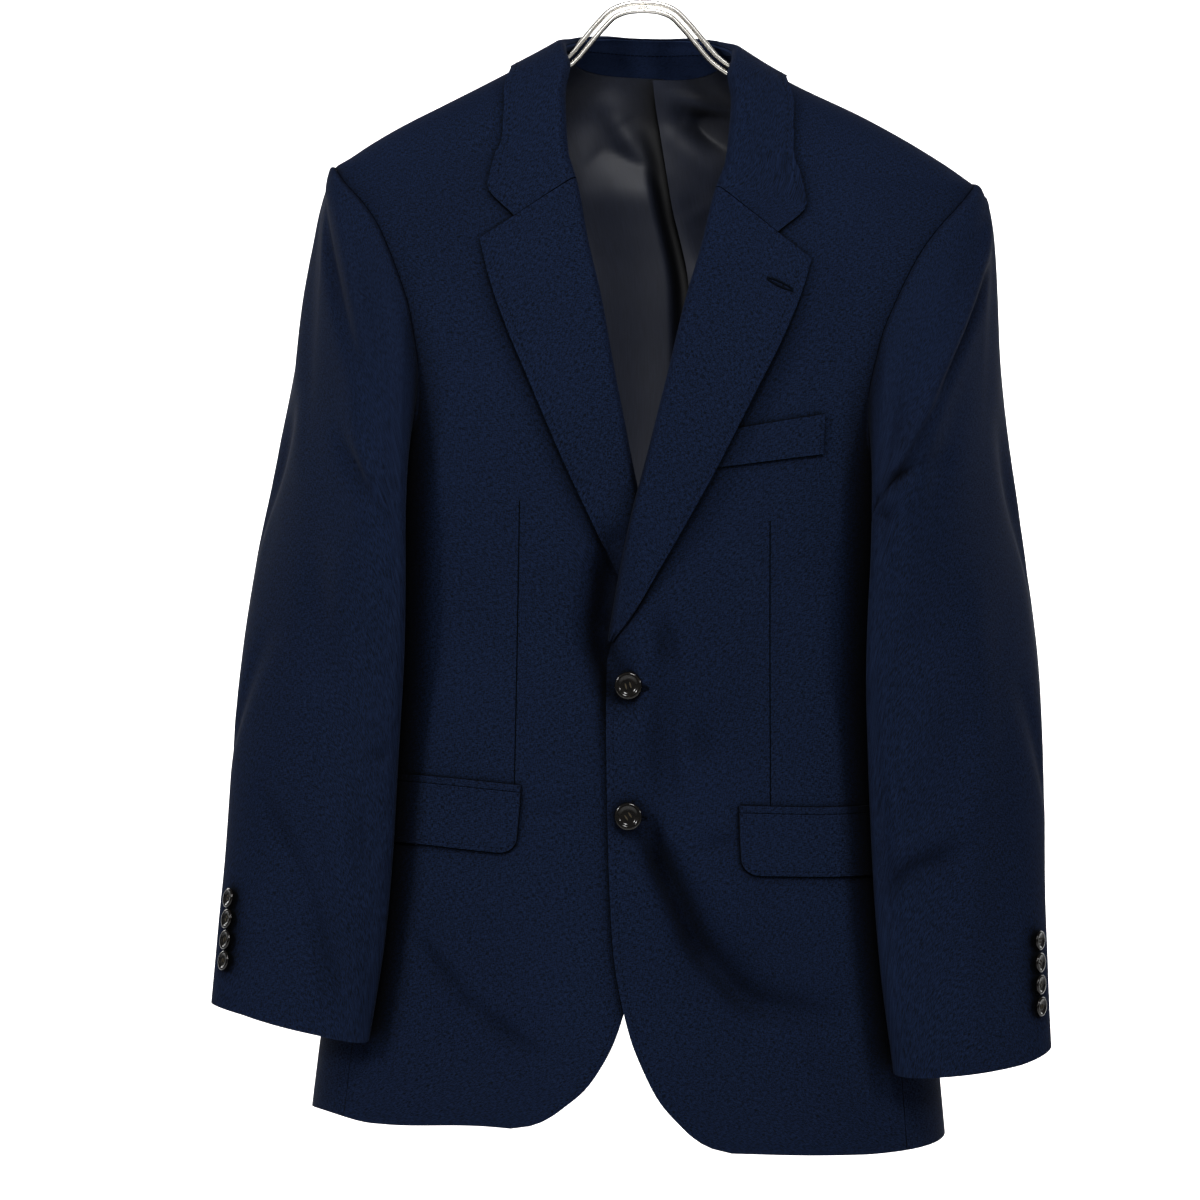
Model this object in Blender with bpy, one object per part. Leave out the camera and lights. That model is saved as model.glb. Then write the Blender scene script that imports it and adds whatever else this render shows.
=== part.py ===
"""A single-breasted two-button suit jacket hanging on a twin-rod wire hanger.

Every cut piece of cloth is its own thin wall. The walls are lofted over a few named forms: the torso, the
turned-back lapel and collar, and the sleeve's tube. Lengths are in millimetres and become metres only when a
mesh is made. The jacket's own frame has x across, y from front (-) to back (+) and z up, with z = 0 at the
shoulder tips. The whole jacket is then tilted and placed under the hook, whose inner top is the origin.
"""

import math
from collections import namedtuple

import bmesh
import bpy
import numpy as np
from mathutils import Matrix, Vector

MM = 0.001

# Cloth
CLOTH = 2.0  # wall of a body or sleeve panel: shell cloth and its canvas
FACING = 1.8  # wall of the lapel, collar and pocket pieces
LINING = 1.4
SEAM = 0.4  # distance between two pieces at a seam
CLEAR = 0.6  # distance between a piece and the layer that it lies on

# How the jacket hangs
TILT = math.radians(1.55)  # wearer's left shoulder lower
DROP = 199.0  # from the hook's inner top down to the shoulder tips' level
SIDE_SLIP = 13.7  # the jacket has slid this far along the hanger
FRONT_SHIFT = -11.0  # the front and neck hang this far to the wearer's right
FRONT_SHEAR = 0.035  # the wearer's left front hangs lower by this share of x
SHOULDER_SAG = 5.5  # how far the wearer's right shoulder sinks towards its tip
RIGHT_HEM_RISE = 8.0  # how much higher the wearer's right front is at its rounded corner
RIGHT_SIDE_RISE = 5.0  # and the hem at that side

# Heights in the jacket's frame
HEM = -714.0
BREAK = -357.0  # where the lapel starts to turn back
SHOULDER_TIP = 3.0
ARMPIT = -240.0
FRONT_TOP = 84.0

SIDE_SEAM = 60.0  # degrees round the torso from the centre front
BACK_SEAM = 116.0
SEAM_STATION = 150  # the turn of the armhole where both side seams meet it
LAP_LIFT = 8.6  # how far the top front stands off the under front at the lapel's break
LAP_LIFT_LOW = 3.0


def table(names, rows):
    """Rows with named columns, sorted by the first one."""
    row = namedtuple("Row", names)
    return sorted((row(*r) for r in rows), key=lambda r: r[0])


def read(rows, column, key):
    """The column at key, on a smooth curve through the rows that doesn't overshoot."""
    x = np.array([r[0] for r in rows], float)
    y = np.array([getattr(r, column) for r in rows], float)
    step = np.diff(x)
    slope = np.diff(y) / step
    tangent = np.zeros_like(y)
    tangent[0], tangent[-1] = slope[0], slope[-1]
    same = slope[:-1] * slope[1:] > 0
    w1, w2 = 2 * step[1:] + step[:-1], step[1:] + 2 * step[:-1]
    with np.errstate(divide="ignore", invalid="ignore"):
        mean = (w1 + w2) / (w1 / slope[:-1] + w2 / slope[1:])
    tangent[1:-1] = np.where(same, mean, 0.0)
    key = np.clip(np.asarray(key, float), x[0], x[-1])
    i = np.clip(np.searchsorted(x, key, side="right") - 1, 0, len(x) - 2)
    t = (key - x[i]) / step[i]
    return (
        y[i] * (1 + 2 * t) * (1 - t) ** 2
        + tangent[i] * step[i] * t * (1 - t) ** 2
        + y[i + 1] * t * t * (3 - 2 * t)
        - tangent[i + 1] * step[i] * t * t * (1 - t)
    )


def ease(low, high, value):
    """0 below low, 1 above high and smooth between them. low may be the larger of the two."""
    t = np.clip((np.asarray(value, float) - low) / (high - low), 0.0, 1.0)
    return t * t * (3 - 2 * t)


def column(values):
    """A list of numbers as one column."""
    return np.asarray(values, float)[:, None]


def unit(vectors):
    """Vectors of length 1."""
    return vectors / np.maximum(np.linalg.norm(vectors, axis=-1, keepdims=True), 1e-9)


# ---------------------------------------------------------------- the torso's form

TORSO = table(
    "height half_width front_depth back_depth",
    [
        (124, 34, 17, 33),
        (116, 43.5, 24, 38),
        (112, 49, 29, 41),
        (104, 57.6, 37, 45),
        (97, 68, 46, 49),
        (89, 81, 52, 52),
        (73, 111, 60, 56),
        (49, 165, 67, 60),
        (25, 209, 71, 61),
        (9, 233, 73, 61),
        (0, 243, 74, 61),
        (-30, 246, 79, 63),
        (-60, 246, 83, 64),
        (-117, 240, 88, 64),
        (-180, 226, 90, 62),
        (-240, 210, 90, 58),
        (-300, 199, 88, 54),
        (-360, 196, 86, 51),
        (-440, 203, 87, 52),
        (-560, 221, 92, 56),
        (-640, 232, 96, 59),
        (-714, 240, 98, 61),
    ],
)
FLATNESS = 0.85  # below 1 the front and back are flatter than an ellipse
NORMAL_STEP = 0.8

# A fold's line runs from (x1, z1) to (x2, z2); depth is out (+) or in (-), side is 1 for the wearer's left.
FOLDS = table(
    "number face side x1 z1 x2 z2 width depth",
    [
        (1, "front", 1, 22, -492, 60, -600, 15, -4.5),
        (2, "front", 1, 60, -600, 150, -655, 24, -3.5),
        (3, "front", 1, 62, -500, 110, -585, 30, 4.0),
        (4, "front", 1, 30, -385, 70, -440, 16, -2.0),
        (5, "front", -1, 95, -560, 130, -700, 26, -2.5),
        (6, "front", -1, 50, -420, 95, -540, 30, 2.0),
        (7, "front", 1, 140, -60, 152, -150, 12, -1.4),
        (8, "front", -1, 140, -80, 148, -170, 12, -1.2),
        (9, "front", 1, 120, -560, 135, -714, 26, 2.6),
        (10, "back", 1, 95, -20, 60, -330, 30, -3.0),
        (11, "back", -1, 95, -20, 60, -330, 30, -3.0),
        (12, "back", 1, 110, -420, 125, -712, 30, -4.0),
        (13, "back", -1, 100, -440, 120, -712, 30, -4.0),
        (14, "back", 1, 150, -130, 135, -300, 20, 2.5),
        (15, "back", -1, 150, -120, 140, -290, 20, 2.5),
    ],
)


def along(px, pz, x1, z1, x2, z2):
    """How far a point lies from a line's nearest point, and the share of the line where that is."""
    dx, dz = x2 - x1, z2 - z1
    t = np.clip(((px - x1) * dx + (pz - z1) * dz) / (dx * dx + dz * dz), 0, 1)
    return np.hypot(px - x1 - t * dx, pz - z1 - t * dz), t


def fold_height(turn, height):
    """How far the folds move the torso's cloth out, at a turn and a height."""
    x = read(TORSO, "half_width", height) * np.sin(np.radians(turn))
    total = np.zeros_like(x)
    for fold in FOLDS:
        facing = (np.cos(np.radians(turn)) > 0) == (fold.face == "front")
        gap, share = along(x * fold.side, height, fold.x1, fold.z1, fold.x2, fold.z2)
        swell = np.sin(math.pi * (0.15 + 0.7 * share))
        total += np.where(facing, fold.depth * swell * np.exp(-((gap / fold.width) ** 2)), 0.0)
    return total


def torso_form(turn, height):
    """A point of the bare torso form: turn in degrees from the centre front, + to the wearer's left."""
    angle = np.radians(turn)
    c = np.cos(angle)
    depth = np.where(c > 0, -read(TORSO, "front_depth", height), read(TORSO, "back_depth", height))
    across = read(TORSO, "half_width", height) * np.sin(angle)
    return np.stack([across, depth * np.abs(c) ** FLATNESS, np.asarray(height, float) + 0 * angle], axis=-1)


def torso(turn, height, out):
    """A point that lies out millimetres off the torso's folded cloth."""
    turn, height = np.broadcast_arrays(np.asarray(turn, float), np.asarray(height, float))
    across = torso_form(turn + NORMAL_STEP, height) - torso_form(turn - NORMAL_STEP, height)
    up = torso_form(turn, height + NORMAL_STEP) - torso_form(turn, height - NORMAL_STEP)
    lift = np.asarray(out, float) + fold_height(turn, height)
    return torso_form(turn, height) + unit(np.cross(across, up)) * lift[..., None]


def turn_at(x, height):
    """The turn of the front's point that is x off the centre, in degrees."""
    half = read(TORSO, "half_width", height)
    return np.degrees(np.arcsin(np.clip(np.asarray(x, float) / half, -0.999, 0.999)))


def near_centre(x):
    """1 at the centre line and 0 at the sides."""
    return np.clip(1 - (x / 250.0) ** 2, 0, 1) ** 0.4


def settle(points, share=None):
    """Moves points from the even form to how the jacket hangs: shifted, sheared and sagging at one shoulder."""
    p = np.array(points, float)
    x, y, z = p[..., 0].copy(), p[..., 1], p[..., 2].copy()
    p[..., 2] -= SHOULDER_SAG * ease(-256, -222, x) * ease(-90, -165, x) * ease(-60, 10, z)
    p[..., 2] += RIGHT_SIDE_RISE * ease(-185, -235, x) * ease(-600, HEM, z)
    p[..., 0] += FRONT_SHIFT * (near_centre(x) if share is None else share)
    p[..., 2] -= FRONT_SHEAR * x * np.clip(-y / 70.0, 0, 1)
    return p


# ---------------------------------------------------------------- the armhole

# From the shoulder tip (station 0) down to the armpit (180): the torso's turn on the front and on the back.
ARMHOLE = table(
    "station front back",
    [
        (0, 90.0, 90.0),
        (15, 80.0, 98.0),
        (30, 70.0, 106.0),
        (45, 60.5, 114.0),
        (60, 53.5, 121.0),
        (75, 49.0, 126.0),
        (90, 46.2, 129.0),
        (105, 45.5, 130.0),
        (120, 47.0, 128.5),
        (135, 51.5, 123.5),
        (150, SIDE_SEAM - 1.0, BACK_SEAM),
        (165, 73.0, 104.0),
        (180, 90.0, 90.0),
    ],
)
STATIONS = [r.station for r in ARMHOLE]


def armhole_height(station):
    """The height of a station of the armhole."""
    middle, reach = (SHOULDER_TIP + ARMPIT) / 2, (SHOULDER_TIP - ARMPIT) / 2
    return middle + reach * np.cos(np.radians(station))


def armhole(station):
    """(turn, height) at a station from 0 to 360: 90 is the front, 180 the armpit and 270 the back."""
    station = np.asarray(station, float) % 360
    down = np.where(station <= 180, station, 360 - station)
    front_turn, back_turn = read(ARMHOLE, "front", down), read(ARMHOLE, "back", down)
    return np.where(station <= 180, front_turn, back_turn), armhole_height(down)


# ---------------------------------------------------------------- lines over the front

FRONT_EDGE = table(
    "height x",
    [
        (-714, 80),
        (-711, 66),
        (-704, 52.5),
        (-695, 42),
        (-679, 27),
        (-660, 16),
        (-635, 5),
        (-610, -2),
        (-580, -8),
        (-540, -12),
        (-480, -15.5),
        (-420, -18),
        (-357, -19.5),
        (-328, -16.2),
        (-285, -9.4),
        (-254, -3.6),
        (-225, 3.2),
        (-188, 11.5),
        (-150, 20),
        (-100, 30.5),
        (-60, 41),
        (-15, 51),
        (5, 59.5),
        (20, 62.5),
        (35, 65),
        (65, 72),
        (84, 76),
    ],
)
LAPEL_EDGE = table(
    "height x",
    [
        (-357, -19.5),
        (-326, 0.5),
        (-295, 17),
        (-262, 34),
        (-229, 51),
        (-161, 83),
        (-122, 101),
        (-88, 114),
        (-63, 121),
    ],
)
Spot = namedtuple("Spot", "x height")
GORGE = Spot(51.0, -15.0)  # the roll line's top, where collar and lapel meet
LAPEL_TIP = Spot(121.0, -63.0)
ROLL_SETBACK = FACING + CLEAR  # the front panel ends this far inside the lapel's roll


def lap(side, x, height):
    """How far the wearer's left front, which is on top, stands off the torso's form near the centre."""
    if side < 0:
        return 0 * np.asarray(x, float)
    low = LAP_LIFT_LOW + (LAP_LIFT - LAP_LIFT_LOW) * ease(-450, -365, height)
    return low * ease(-120, -235, height) * ease(95, 12, x)


def front_point(side, x, height, out):
    """A point over a front panel, named by its distance from the centre line and its height."""
    x, height = np.broadcast_arrays(np.asarray(x, float), np.asarray(height, float))
    turn = turn_at(x, height) * side
    return torso(turn, height, np.asarray(out, float) + lap(side, x, height))


# ---------------------------------------------------------------- building meshes


def material(name, colour, roughness, metallic=0.0):
    """A Principled material."""
    made = bpy.data.materials.new(name)
    made.use_nodes = True
    shader = made.node_tree.nodes["Principled BSDF"]
    shader.inputs["Base Color"].default_value = (*colour, 1.0)
    shader.inputs["Roughness"].default_value = roughness
    shader.inputs["Metallic"].default_value = metallic
    return made


for old in list(bpy.data.objects):
    bpy.data.objects.remove(old, do_unlink=True)
PARTS = bpy.data.collections.new("suit_jacket_on_hanger")
bpy.context.scene.collection.children.link(PARTS)
NAVY = material("navy_worsted", (0.010, 0.013, 0.030), 0.85)
SATIN = material("charcoal_satin", (0.030, 0.031, 0.036), 0.35)
HORN = material("dark_horn", (0.020, 0.016, 0.014), 0.3)
CHROME = material("chrome", (0.62, 0.61, 0.60), 0.12, 1.0)

HANGING = bpy.data.objects.new("jacket_hang", None)
PARTS.objects.link(HANGING)
HANGING.location = (SIDE_SLIP * MM, 0.0, -DROP * MM)
HANGING.rotation_euler = (0.0, TILT, 0.0)


def add(name, data, finish, parent=None):
    """Puts a piece into the collection, under the empty that tilts the jacket if it is given."""
    thing = bpy.data.objects.new(name, data)
    data.materials.append(finish)
    PARTS.objects.link(thing)
    thing.parent = parent
    return thing


def skin(bm, points):
    """One skin of a wall: Blender's grid, with its points moved to where the cloth is."""
    rows, columns = points.shape[:2]
    grid = bmesh.ops.create_grid(bm, x_segments=columns - 1, y_segments=rows - 1, size=1.0)
    for vertex, point in zip(grid["verts"], points.reshape(-1, 3)):
        vertex.co = Vector(point) * MM
    return np.array(grid["verts"], dtype=object).reshape(rows, columns)


def around(grid):
    """A grid's border, in order."""
    return [*grid[0], *grid[1:, -1], *grid[-1, -2::-1], *grid[-2:0:-1, 0]]


def wall(name, outer, inner, finish, share=None):
    """A piece of cloth as one closed wall, from two grids of points: its outer and its inner skin."""
    bm = bmesh.new()
    outside, inside = (skin(bm, settle(points, share)) for points in (outer, inner))
    bmesh.ops.reverse_faces(bm, faces=list({face for v in inside.flat for face in v.link_faces}))
    rims = [around(outside), around(inside)]
    for (a, b), (c, d) in zip(*(zip(rim, rim[1:] + rim[:1]) for rim in rims)):
        bm.faces.new([b, a, c, d])
    if bm.calc_volume(signed=True) < 0:
        bmesh.ops.reverse_faces(bm, faces=bm.faces)
    mesh = bpy.data.meshes.new(name)
    bm.to_mesh(mesh)
    bm.free()
    mesh.shade_smooth()
    mesh.set_sharp_from_angle(angle=math.radians(40))
    return add(name, mesh, finish, HANGING)


def thicken(outer, thickness):
    """The inner skin of a grid of outer points, along the grid's own normals."""
    across, up = np.gradient(outer, axis=1), np.gradient(outer, axis=0)
    return outer - unit(np.cross(across, up)) * thickness


def shares(count):
    """Even shares from 0 to 1, for the columns of a grid."""
    return np.linspace(0.0, 1.0, count + 1)[None, :]


# ---------------------------------------------------------------- the body panels

LOW_ROWS = [-714, -711, -704, -695, -679, -660, -635, -605, -565, -520, -480, -440, -400, -357, -325, -290, -255]
SHOULDER_ROWS = [20, 38, 55, 70, FRONT_TOP]
BACK_TOP_ROWS = [20, 38, 55, 68]
FRONT_COLUMNS = 9
BACK_COLUMNS = 7
SHOULDER_SEAM = table("height turn", [(3, 90), (20, 89), (84, 83)])  # it runs a little before the crest


def body_heights(top_rows):
    """Every row's height on a front or back panel, from the hem up."""
    stations = [s for s in reversed(STATIONS) if s <= SEAM_STATION]
    return column([*LOW_ROWS, *armhole_height(stations), *top_rows])


def outer_limit(face, top_rows):
    """The turn of a front or back panel's outer side at each of its rows: side seam, armhole, shoulder."""
    seam = SIDE_SEAM if face == "front" else BACK_SEAM
    at_armhole = [getattr(r, face) for r in reversed(ARMHOLE) if r.station <= SEAM_STATION]
    low = seam + (at_armhole[0] - seam) * ease(-400, -230, LOW_ROWS)
    return column([*low, *at_armhole, *read(SHOULDER_SEAM, "turn", top_rows)])


def seam_allow(height):
    """Half a seam, as degrees round the torso at a height."""
    return np.degrees(SEAM / 2 / read(TORSO, "front_depth", height))


def front(side, name):
    """A front panel: its edge and roll line on one side, side seam, armhole and shoulder on the other."""
    heights = body_heights(SHOULDER_ROWS)
    setback = ROLL_SETBACK * ease(BREAK - 10, BREAK + 4, heights) * ease(50, 20, heights)
    edge = turn_at(read(FRONT_EDGE, "x", heights) + setback, heights)
    limit = outer_limit("front", SHOULDER_ROWS) - seam_allow(heights)
    turns = edge + (limit - edge) * shares(FRONT_COLUMNS)
    x = read(TORSO, "half_width", heights) * np.sin(np.radians(turns))
    lift = lap(side, x, heights)
    levels = heights + RIGHT_HEM_RISE * (side < 0) * ease(-640, HEM, heights) * ease(190, 90, x)
    outer, inner = (torso(turns * side, levels, lift - depth) for depth in (0, CLOTH))
    return wall(name, outer, inner, NAVY)


VENT_TOP = -478.0
VENT_SPREAD = {-1: 50.0, 1: 42.0}  # how far each side of the vent has swung open at the hem
NECKLINE = table("turn height", [(80, 94.5), (100, 94.5), (120, 92), (140, 88), (160, 85), (180, 84)])


def vent(side, height):
    """How far a back panel's edge hangs from the centre line."""
    return VENT_SPREAD[side] * ease(VENT_TOP, HEM, height) ** 0.8


def back_grid(side, columns, limit, neckline_rise):
    """The turns and heights of a back panel, from the centre back seam and vent out to its limit."""
    heights = body_heights(BACK_TOP_ROWS)
    middle = 180.0 - np.degrees((SEAM / 2 + vent(side, heights)) / read(TORSO, "half_width", heights))
    turns = middle + (limit - middle) * shares(columns)
    neckline = read(NECKLINE, "height", turns[-1]) + neckline_rise
    half_way = (heights[-1] + neckline) / 2
    levels = np.vstack([heights + 0 * turns, half_way, neckline])
    return np.vstack([turns, turns[-1], turns[-1]]), levels


def back(side, name):
    """A back panel: centre back seam and vent, side seam, armhole, shoulder seam and back neckline."""
    limit = outer_limit("back", BACK_TOP_ROWS) + seam_allow(body_heights(BACK_TOP_ROWS))
    turns, levels = back_grid(side, BACK_COLUMNS, limit, 0.0)
    outer, inner = (torso(turns * side, levels, 0 * turns - depth) for depth in (0, CLOTH))
    return wall(name, outer, inner, NAVY)


LINING_COLUMNS = 5
LINING_TURN = 108.0  # the back lining's shoulder edge keeps clear of the hanger
LINING_DEPTH = CLOTH + FACING + 3.8 * CLEAR  # it lies inside the collar's stand
LINING_RISE = 4.5
HEM_TURN_UP = 25.0


def back_lining(side, name):
    """Half of the back's lining, seen through the open neck."""
    limit = np.maximum(outer_limit("back", BACK_TOP_ROWS), LINING_TURN)
    turns, levels = back_grid(side, LINING_COLUMNS, limit, LINING_RISE)
    levels = np.maximum(levels, HEM + HEM_TURN_UP + 3.0 * (levels - HEM) / HEM_TURN_UP)
    depths = (LINING_DEPTH, LINING_DEPTH + LINING)
    outer, inner = (torso(turns * side, levels, 0 * turns - depth) for depth in depths)
    return wall(name, outer, inner, SATIN)


def side_panel(side, name):
    """The side body under the arm, between the two side seams, with the bottom of the armhole as its top."""
    rows = body_heights([])[: len(LOW_ROWS) + 1]
    front_turns = outer_limit("front", [])[: len(rows)] + seam_allow(rows)
    back_turns = outer_limit("back", [])[: len(rows)] - seam_allow(rows)
    top_turns, top_heights = armhole([s for s in range(SEAM_STATION, 361 - SEAM_STATION, 15)])
    spacing = (top_turns - top_turns[0]) / (top_turns[-1] - top_turns[0])
    turns = front_turns + (back_turns - front_turns) * spacing[None, :]
    heights = HEM + (rows - HEM) / (rows[-1] - HEM) * (top_heights - HEM)[None, :]
    outer, inner = (torso(turns * side, heights, 0 * turns - depth) for depth in (0, CLOTH))
    return wall(name, outer, inner, NAVY)


# ---------------------------------------------------------------- lapels and collar

ROLL_STEPS = [0.0, 30.0, 60.0, 90.0]  # degrees round the turned edge
ROLL_REACH = 5.0  # how far in from the turned edge the cloth is at its highest


def turned_back(place, line, edge, lip, top, rest, columns):
    """A flap of cloth that turns over along a line and lies down to its edge.

    place(a, b, out) is a point over the form; line and edge are the flap's two long sides as (a, b) columns.
    lip, top and rest are its outer skin's heights over the form: at the turn, past it and at the edge.
    """
    start, end = place(*line, 0 * line[0]), place(*edge, 0 * edge[0])
    width = np.linalg.norm(end - start, axis=-1)
    angle = np.radians(ROLL_STEPS)[None, :]
    reach = np.minimum(ROLL_REACH, 0.45 * width)
    near = reach / width * (1 - np.cos(angle))
    rise = lip + (top - lip) * np.sin(angle)
    far = (reach / width) + (1 - reach / width) * shares(columns)[:, 1:]
    fall = rest + (top - rest) * (1 - ease(0, 0.8, shares(columns)[:, 1:]))
    share, out = np.hstack([near, far]), np.hstack([rise, fall])
    a, b = (low + (high - low) * share for low, high in zip(line, edge))
    return place(a, b, out)


LAPEL_ROWS = 15
LAPEL_COLUMNS = 4
LAPEL_START = 0.018  # share of the roll line below which the lapel has no width
WELT_LIFT = 2.4  # the left lapel passes over the breast welt
GORGE_GAP = 0.7
LAPEL_ROLL = {-1: (1.2, 4.0), 1: (2.6, 4.5)}  # its roll's height at the break and half-way up


def lapel(side, name):
    """A lapel: turned back along the roll line, from the break up to the gorge."""
    share = column(LAPEL_START + (1 - LAPEL_START) * np.linspace(0, 1, LAPEL_ROWS + 1) ** 0.9)
    roll_height = BREAK + (GORGE.height - GORGE_GAP - BREAK) * share
    edge_height = BREAK + (LAPEL_TIP.height - GORGE_GAP - BREAK) * share
    line = (read(FRONT_EDGE, "x", roll_height), roll_height)
    edge = (read(LAPEL_EDGE, "x", edge_height), edge_height)
    rest = CLEAR + FACING + WELT_LIFT * (side > 0) * ease(-300, -240, edge_height) * ease(-100, -160, edge_height)
    low, high = LAPEL_ROLL[side]
    top = CLEAR + FACING + low + (high - low) * ease(0.0, 0.45, share) - 1.5 * ease(0.7, 1.0, share)

    def place(x, height, out):
        return front_point(side, x, height, out)

    lip = CLEAR + 0.2 - (CLOTH + CLEAR + 0.2) * ease(0.03, 0.12, share)
    outer = turned_back(place, line, edge, lip, np.maximum(top, rest), rest, LAPEL_COLUMNS)
    return wall(name, outer, thicken(outer * [side, 1, 1], FACING) * [side, 1, 1], NAVY)


# The collar from the gorge (0) to the centre back (1): its fold line and its outer edge, over the torso form.
FOLD_LINE = table(
    "along turn height",
    [
        (0.0, 12.0, -15.0),
        (0.06, 12.6, -8.0),
        (0.15, 14.5, 10.0),
        (0.28, 18.5, 36.0),
        (0.42, 31.0, 72.0),
        (0.52, 54.0, 91.0),
        (0.62, 84.0, 102.0),
        (0.75, 114.0, 111.5),
        (0.88, 146.0, 115.5),
        (1.0, 180.0, 116.0),
    ],
)
COLLAR_EDGE = table(
    "along turn height",
    [
        (0.0, 22.9, -46.0),
        (0.06, 28.2, -23.5),
        (0.10, 27.8, -12.0),
        (0.16, 27.2, 4.0),
        (0.28, 32.5, 32.0),
        (0.42, 50.0, 62.0),
        (0.52, 72.0, 75.0),
        (0.62, 95.0, 77.5),
        (0.75, 122.0, 73.0),
        (0.88, 151.0, 68.0),
        (1.0, 180.0, 66.0),
    ],
)
COLLAR_STATIONS = [0.0, 0.03, 0.06, 0.1, 0.16, 0.22, 0.3, 0.38, 0.46, 0.54, 0.62, 0.7, 0.78, 0.86, 0.93, 1.0]
COLLAR_COLUMNS = 4
COLLAR_ROLL = table("along top", [(0, 2.6), (0.3, 4.6), (0.5, 0.4), (0.75, 0.6), (1, 3.0)])
COLLAR_REST = table("along out", [(0, 2.7), (0.3, 3.2), (0.55, 3.7), (0.65, 3.5), (0.8, 3.3), (1, 3.0)])


def both_ways(stations):
    """Stations from the wearer's right end of the collar, round the neck, to the left end."""
    right = [(s, -1) for s in stations]
    left = [(s, 1) for s in reversed(stations[:-1])]
    return right + left


def on_collar(rows, station, side):
    """(turn, height) of a line of the collar, with the turn running on past 180 on the left side."""
    turn, height = read(rows, "turn", station), read(rows, "height", station)
    return np.where(np.asarray(side) > 0, 360 - turn, turn), height


def collar_fall(name):
    """The collar's fall: it turns over along the fold line and lies down over the neck and the fronts."""
    ends = both_ways(COLLAR_STATIONS)
    station, side = column([s for s, _ in ends]), column([k for _, k in ends])
    line, edge = on_collar(FOLD_LINE, station, side), on_collar(COLLAR_EDGE, station, side)
    rest = read(COLLAR_REST, "out", station)
    top = rest + read(COLLAR_ROLL, "top", station)

    def place(turn, height, out):
        return torso(-turn, height, out)

    outer = turned_back(place, line, edge, -CLOTH, top, rest, COLLAR_COLUMNS)
    return wall(name, outer, thicken(outer, -FACING), NAVY)


NECK_SEAM = table(
    "along turn height",
    [
        (0.15, 16.8, 8.0),
        (0.28, 21.5, 36.0),
        (0.42, 38.0, 70.0),
        (0.52, 58.0, 83.0),
        (0.62, 84.0, 90.0),
        (0.75, 115.0, 87.0),
        (0.88, 148.0, 81.0),
        (1.0, 180.0, 79.0),
    ],
)
STAND_STATIONS = [s for s in COLLAR_STATIONS if s > 0.15]
STAND_TOP_GAP = 3.0  # the stand ends this far under the fold


def collar_stand(name):
    """The collar's stand, inside the neck, from the fold down to a lap inside the neckline."""
    ends = both_ways(STAND_STATIONS)
    station, side = column([s for s, _ in ends]), column([k for _, k in ends])
    line, seam = on_collar(FOLD_LINE, station, side), on_collar(NECK_SEAM, station, side)
    across = STAND_TOP_GAP / np.hypot(0.9 * (line[0] - seam[0]), line[1] - seam[1])
    across = across + (1 - across) * shares(4)
    turns, levels = (low + (high - low) * across for low, high in zip(line, seam))
    depth = CLOTH + 1.7 * CLEAR
    outer, inner = (torso(-turns, levels, 0 * turns - d) for d in (depth, depth + FACING))
    return wall(name, outer, inner, NAVY)


# ---------------------------------------------------------------- the sleeves

# Level rings below the armhole, each an oval that is long from its inner front to its outer back.
SLEEVE = table(
    "height x y long short angle",
    [
        (-290, 234.0, -25, 89, 24, 46),
        (-360, 237.0, -33, 84, 25, 38),
        (-440, 239.5, -39, 76, 26, 30),
        (-520, 241.5, -49, 71, 24, 24),
        (-580, 245.0, -56, 67.5, 22, 19),
        (-655, 252.0, -62, 62.5, 20, 15),
    ],
)
BICEP = -290.0
# Where each station's cloth heads for as it leaves the armhole: out from the body, back (+) and down.
SLEEVE_HEAD = table(
    "station out back down",
    [
        (0, 25, 0, 2),
        (45, 16, -10, 10),
        (90, 2, -13, 28),
        (135, 3, -8, 24),
        (180, 13, 0, 14),
        (225, 17, 6, 17),
        (270, 31, 12, 24),
        (315, 41, 8, 14),
        (360, 25, 0, 2),
    ],
)
CUFF_INNER = -652.0
CUFF_OUTER = -633.5
CUFF_INNER_X, CUFF_OUTER_X = 193.0, 312.0
CUFF_DIP = 5.0  # the cuff's front edge hangs this much lower
FORE_SEAM = 120.0  # stations of the sleeve's two seams
HIND_SEAM = 270.0
HEAD_ROWS = 8
ARM_ROWS = 7
SLIP = table("height share", [(-655, 0.4), (-440, 0.55), (-290, 0.62)])  # how much of the front's shift it takes

# A crease's line runs between two places on the sleeve, each a station and a share of the way down.
SLEEVE_FOLDS = table(
    "number side station1 down1 station2 down2 width depth",
    [
        (1, 1, 62, 0.10, 72, 0.52, 12, -3.0),
        (2, 1, 40, 0.16, 55, 0.60, 14, 2.6),
        (3, 1, 20, 0.30, 88, 0.66, 16, -2.5),
        (4, 1, 10, 0.55, 60, 0.74, 16, 2.5),
        (5, -1, 60, 0.08, 70, 0.48, 12, -3.0),
        (6, -1, 38, 0.14, 52, 0.55, 14, 2.4),
        (7, -1, 82, 0.48, 12, 0.80, 16, -3.0),
        (8, -1, 60, 0.42, 0, 0.72, 18, 2.2),
        (9, 1, 330, 0.12, 325, 0.50, 14, -2.2),
        (10, -1, 330, 0.12, 322, 0.50, 14, -2.2),
        (11, 1, 300, 0.45, 285, 0.70, 16, -2.5),
        (12, -1, 300, 0.40, 285, 0.66, 16, -2.5),
    ],
)
DOWN_SPAN = 640.0  # what one share of the way down is in millimetres
STATION_SPAN = 1.05  # and one degree of a station
FULLNESS = {1: 0.06, -1: -0.025}  # how much wider each sleeve hangs about its middle
SLEEVE_MIDDLE = 237.0


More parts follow.
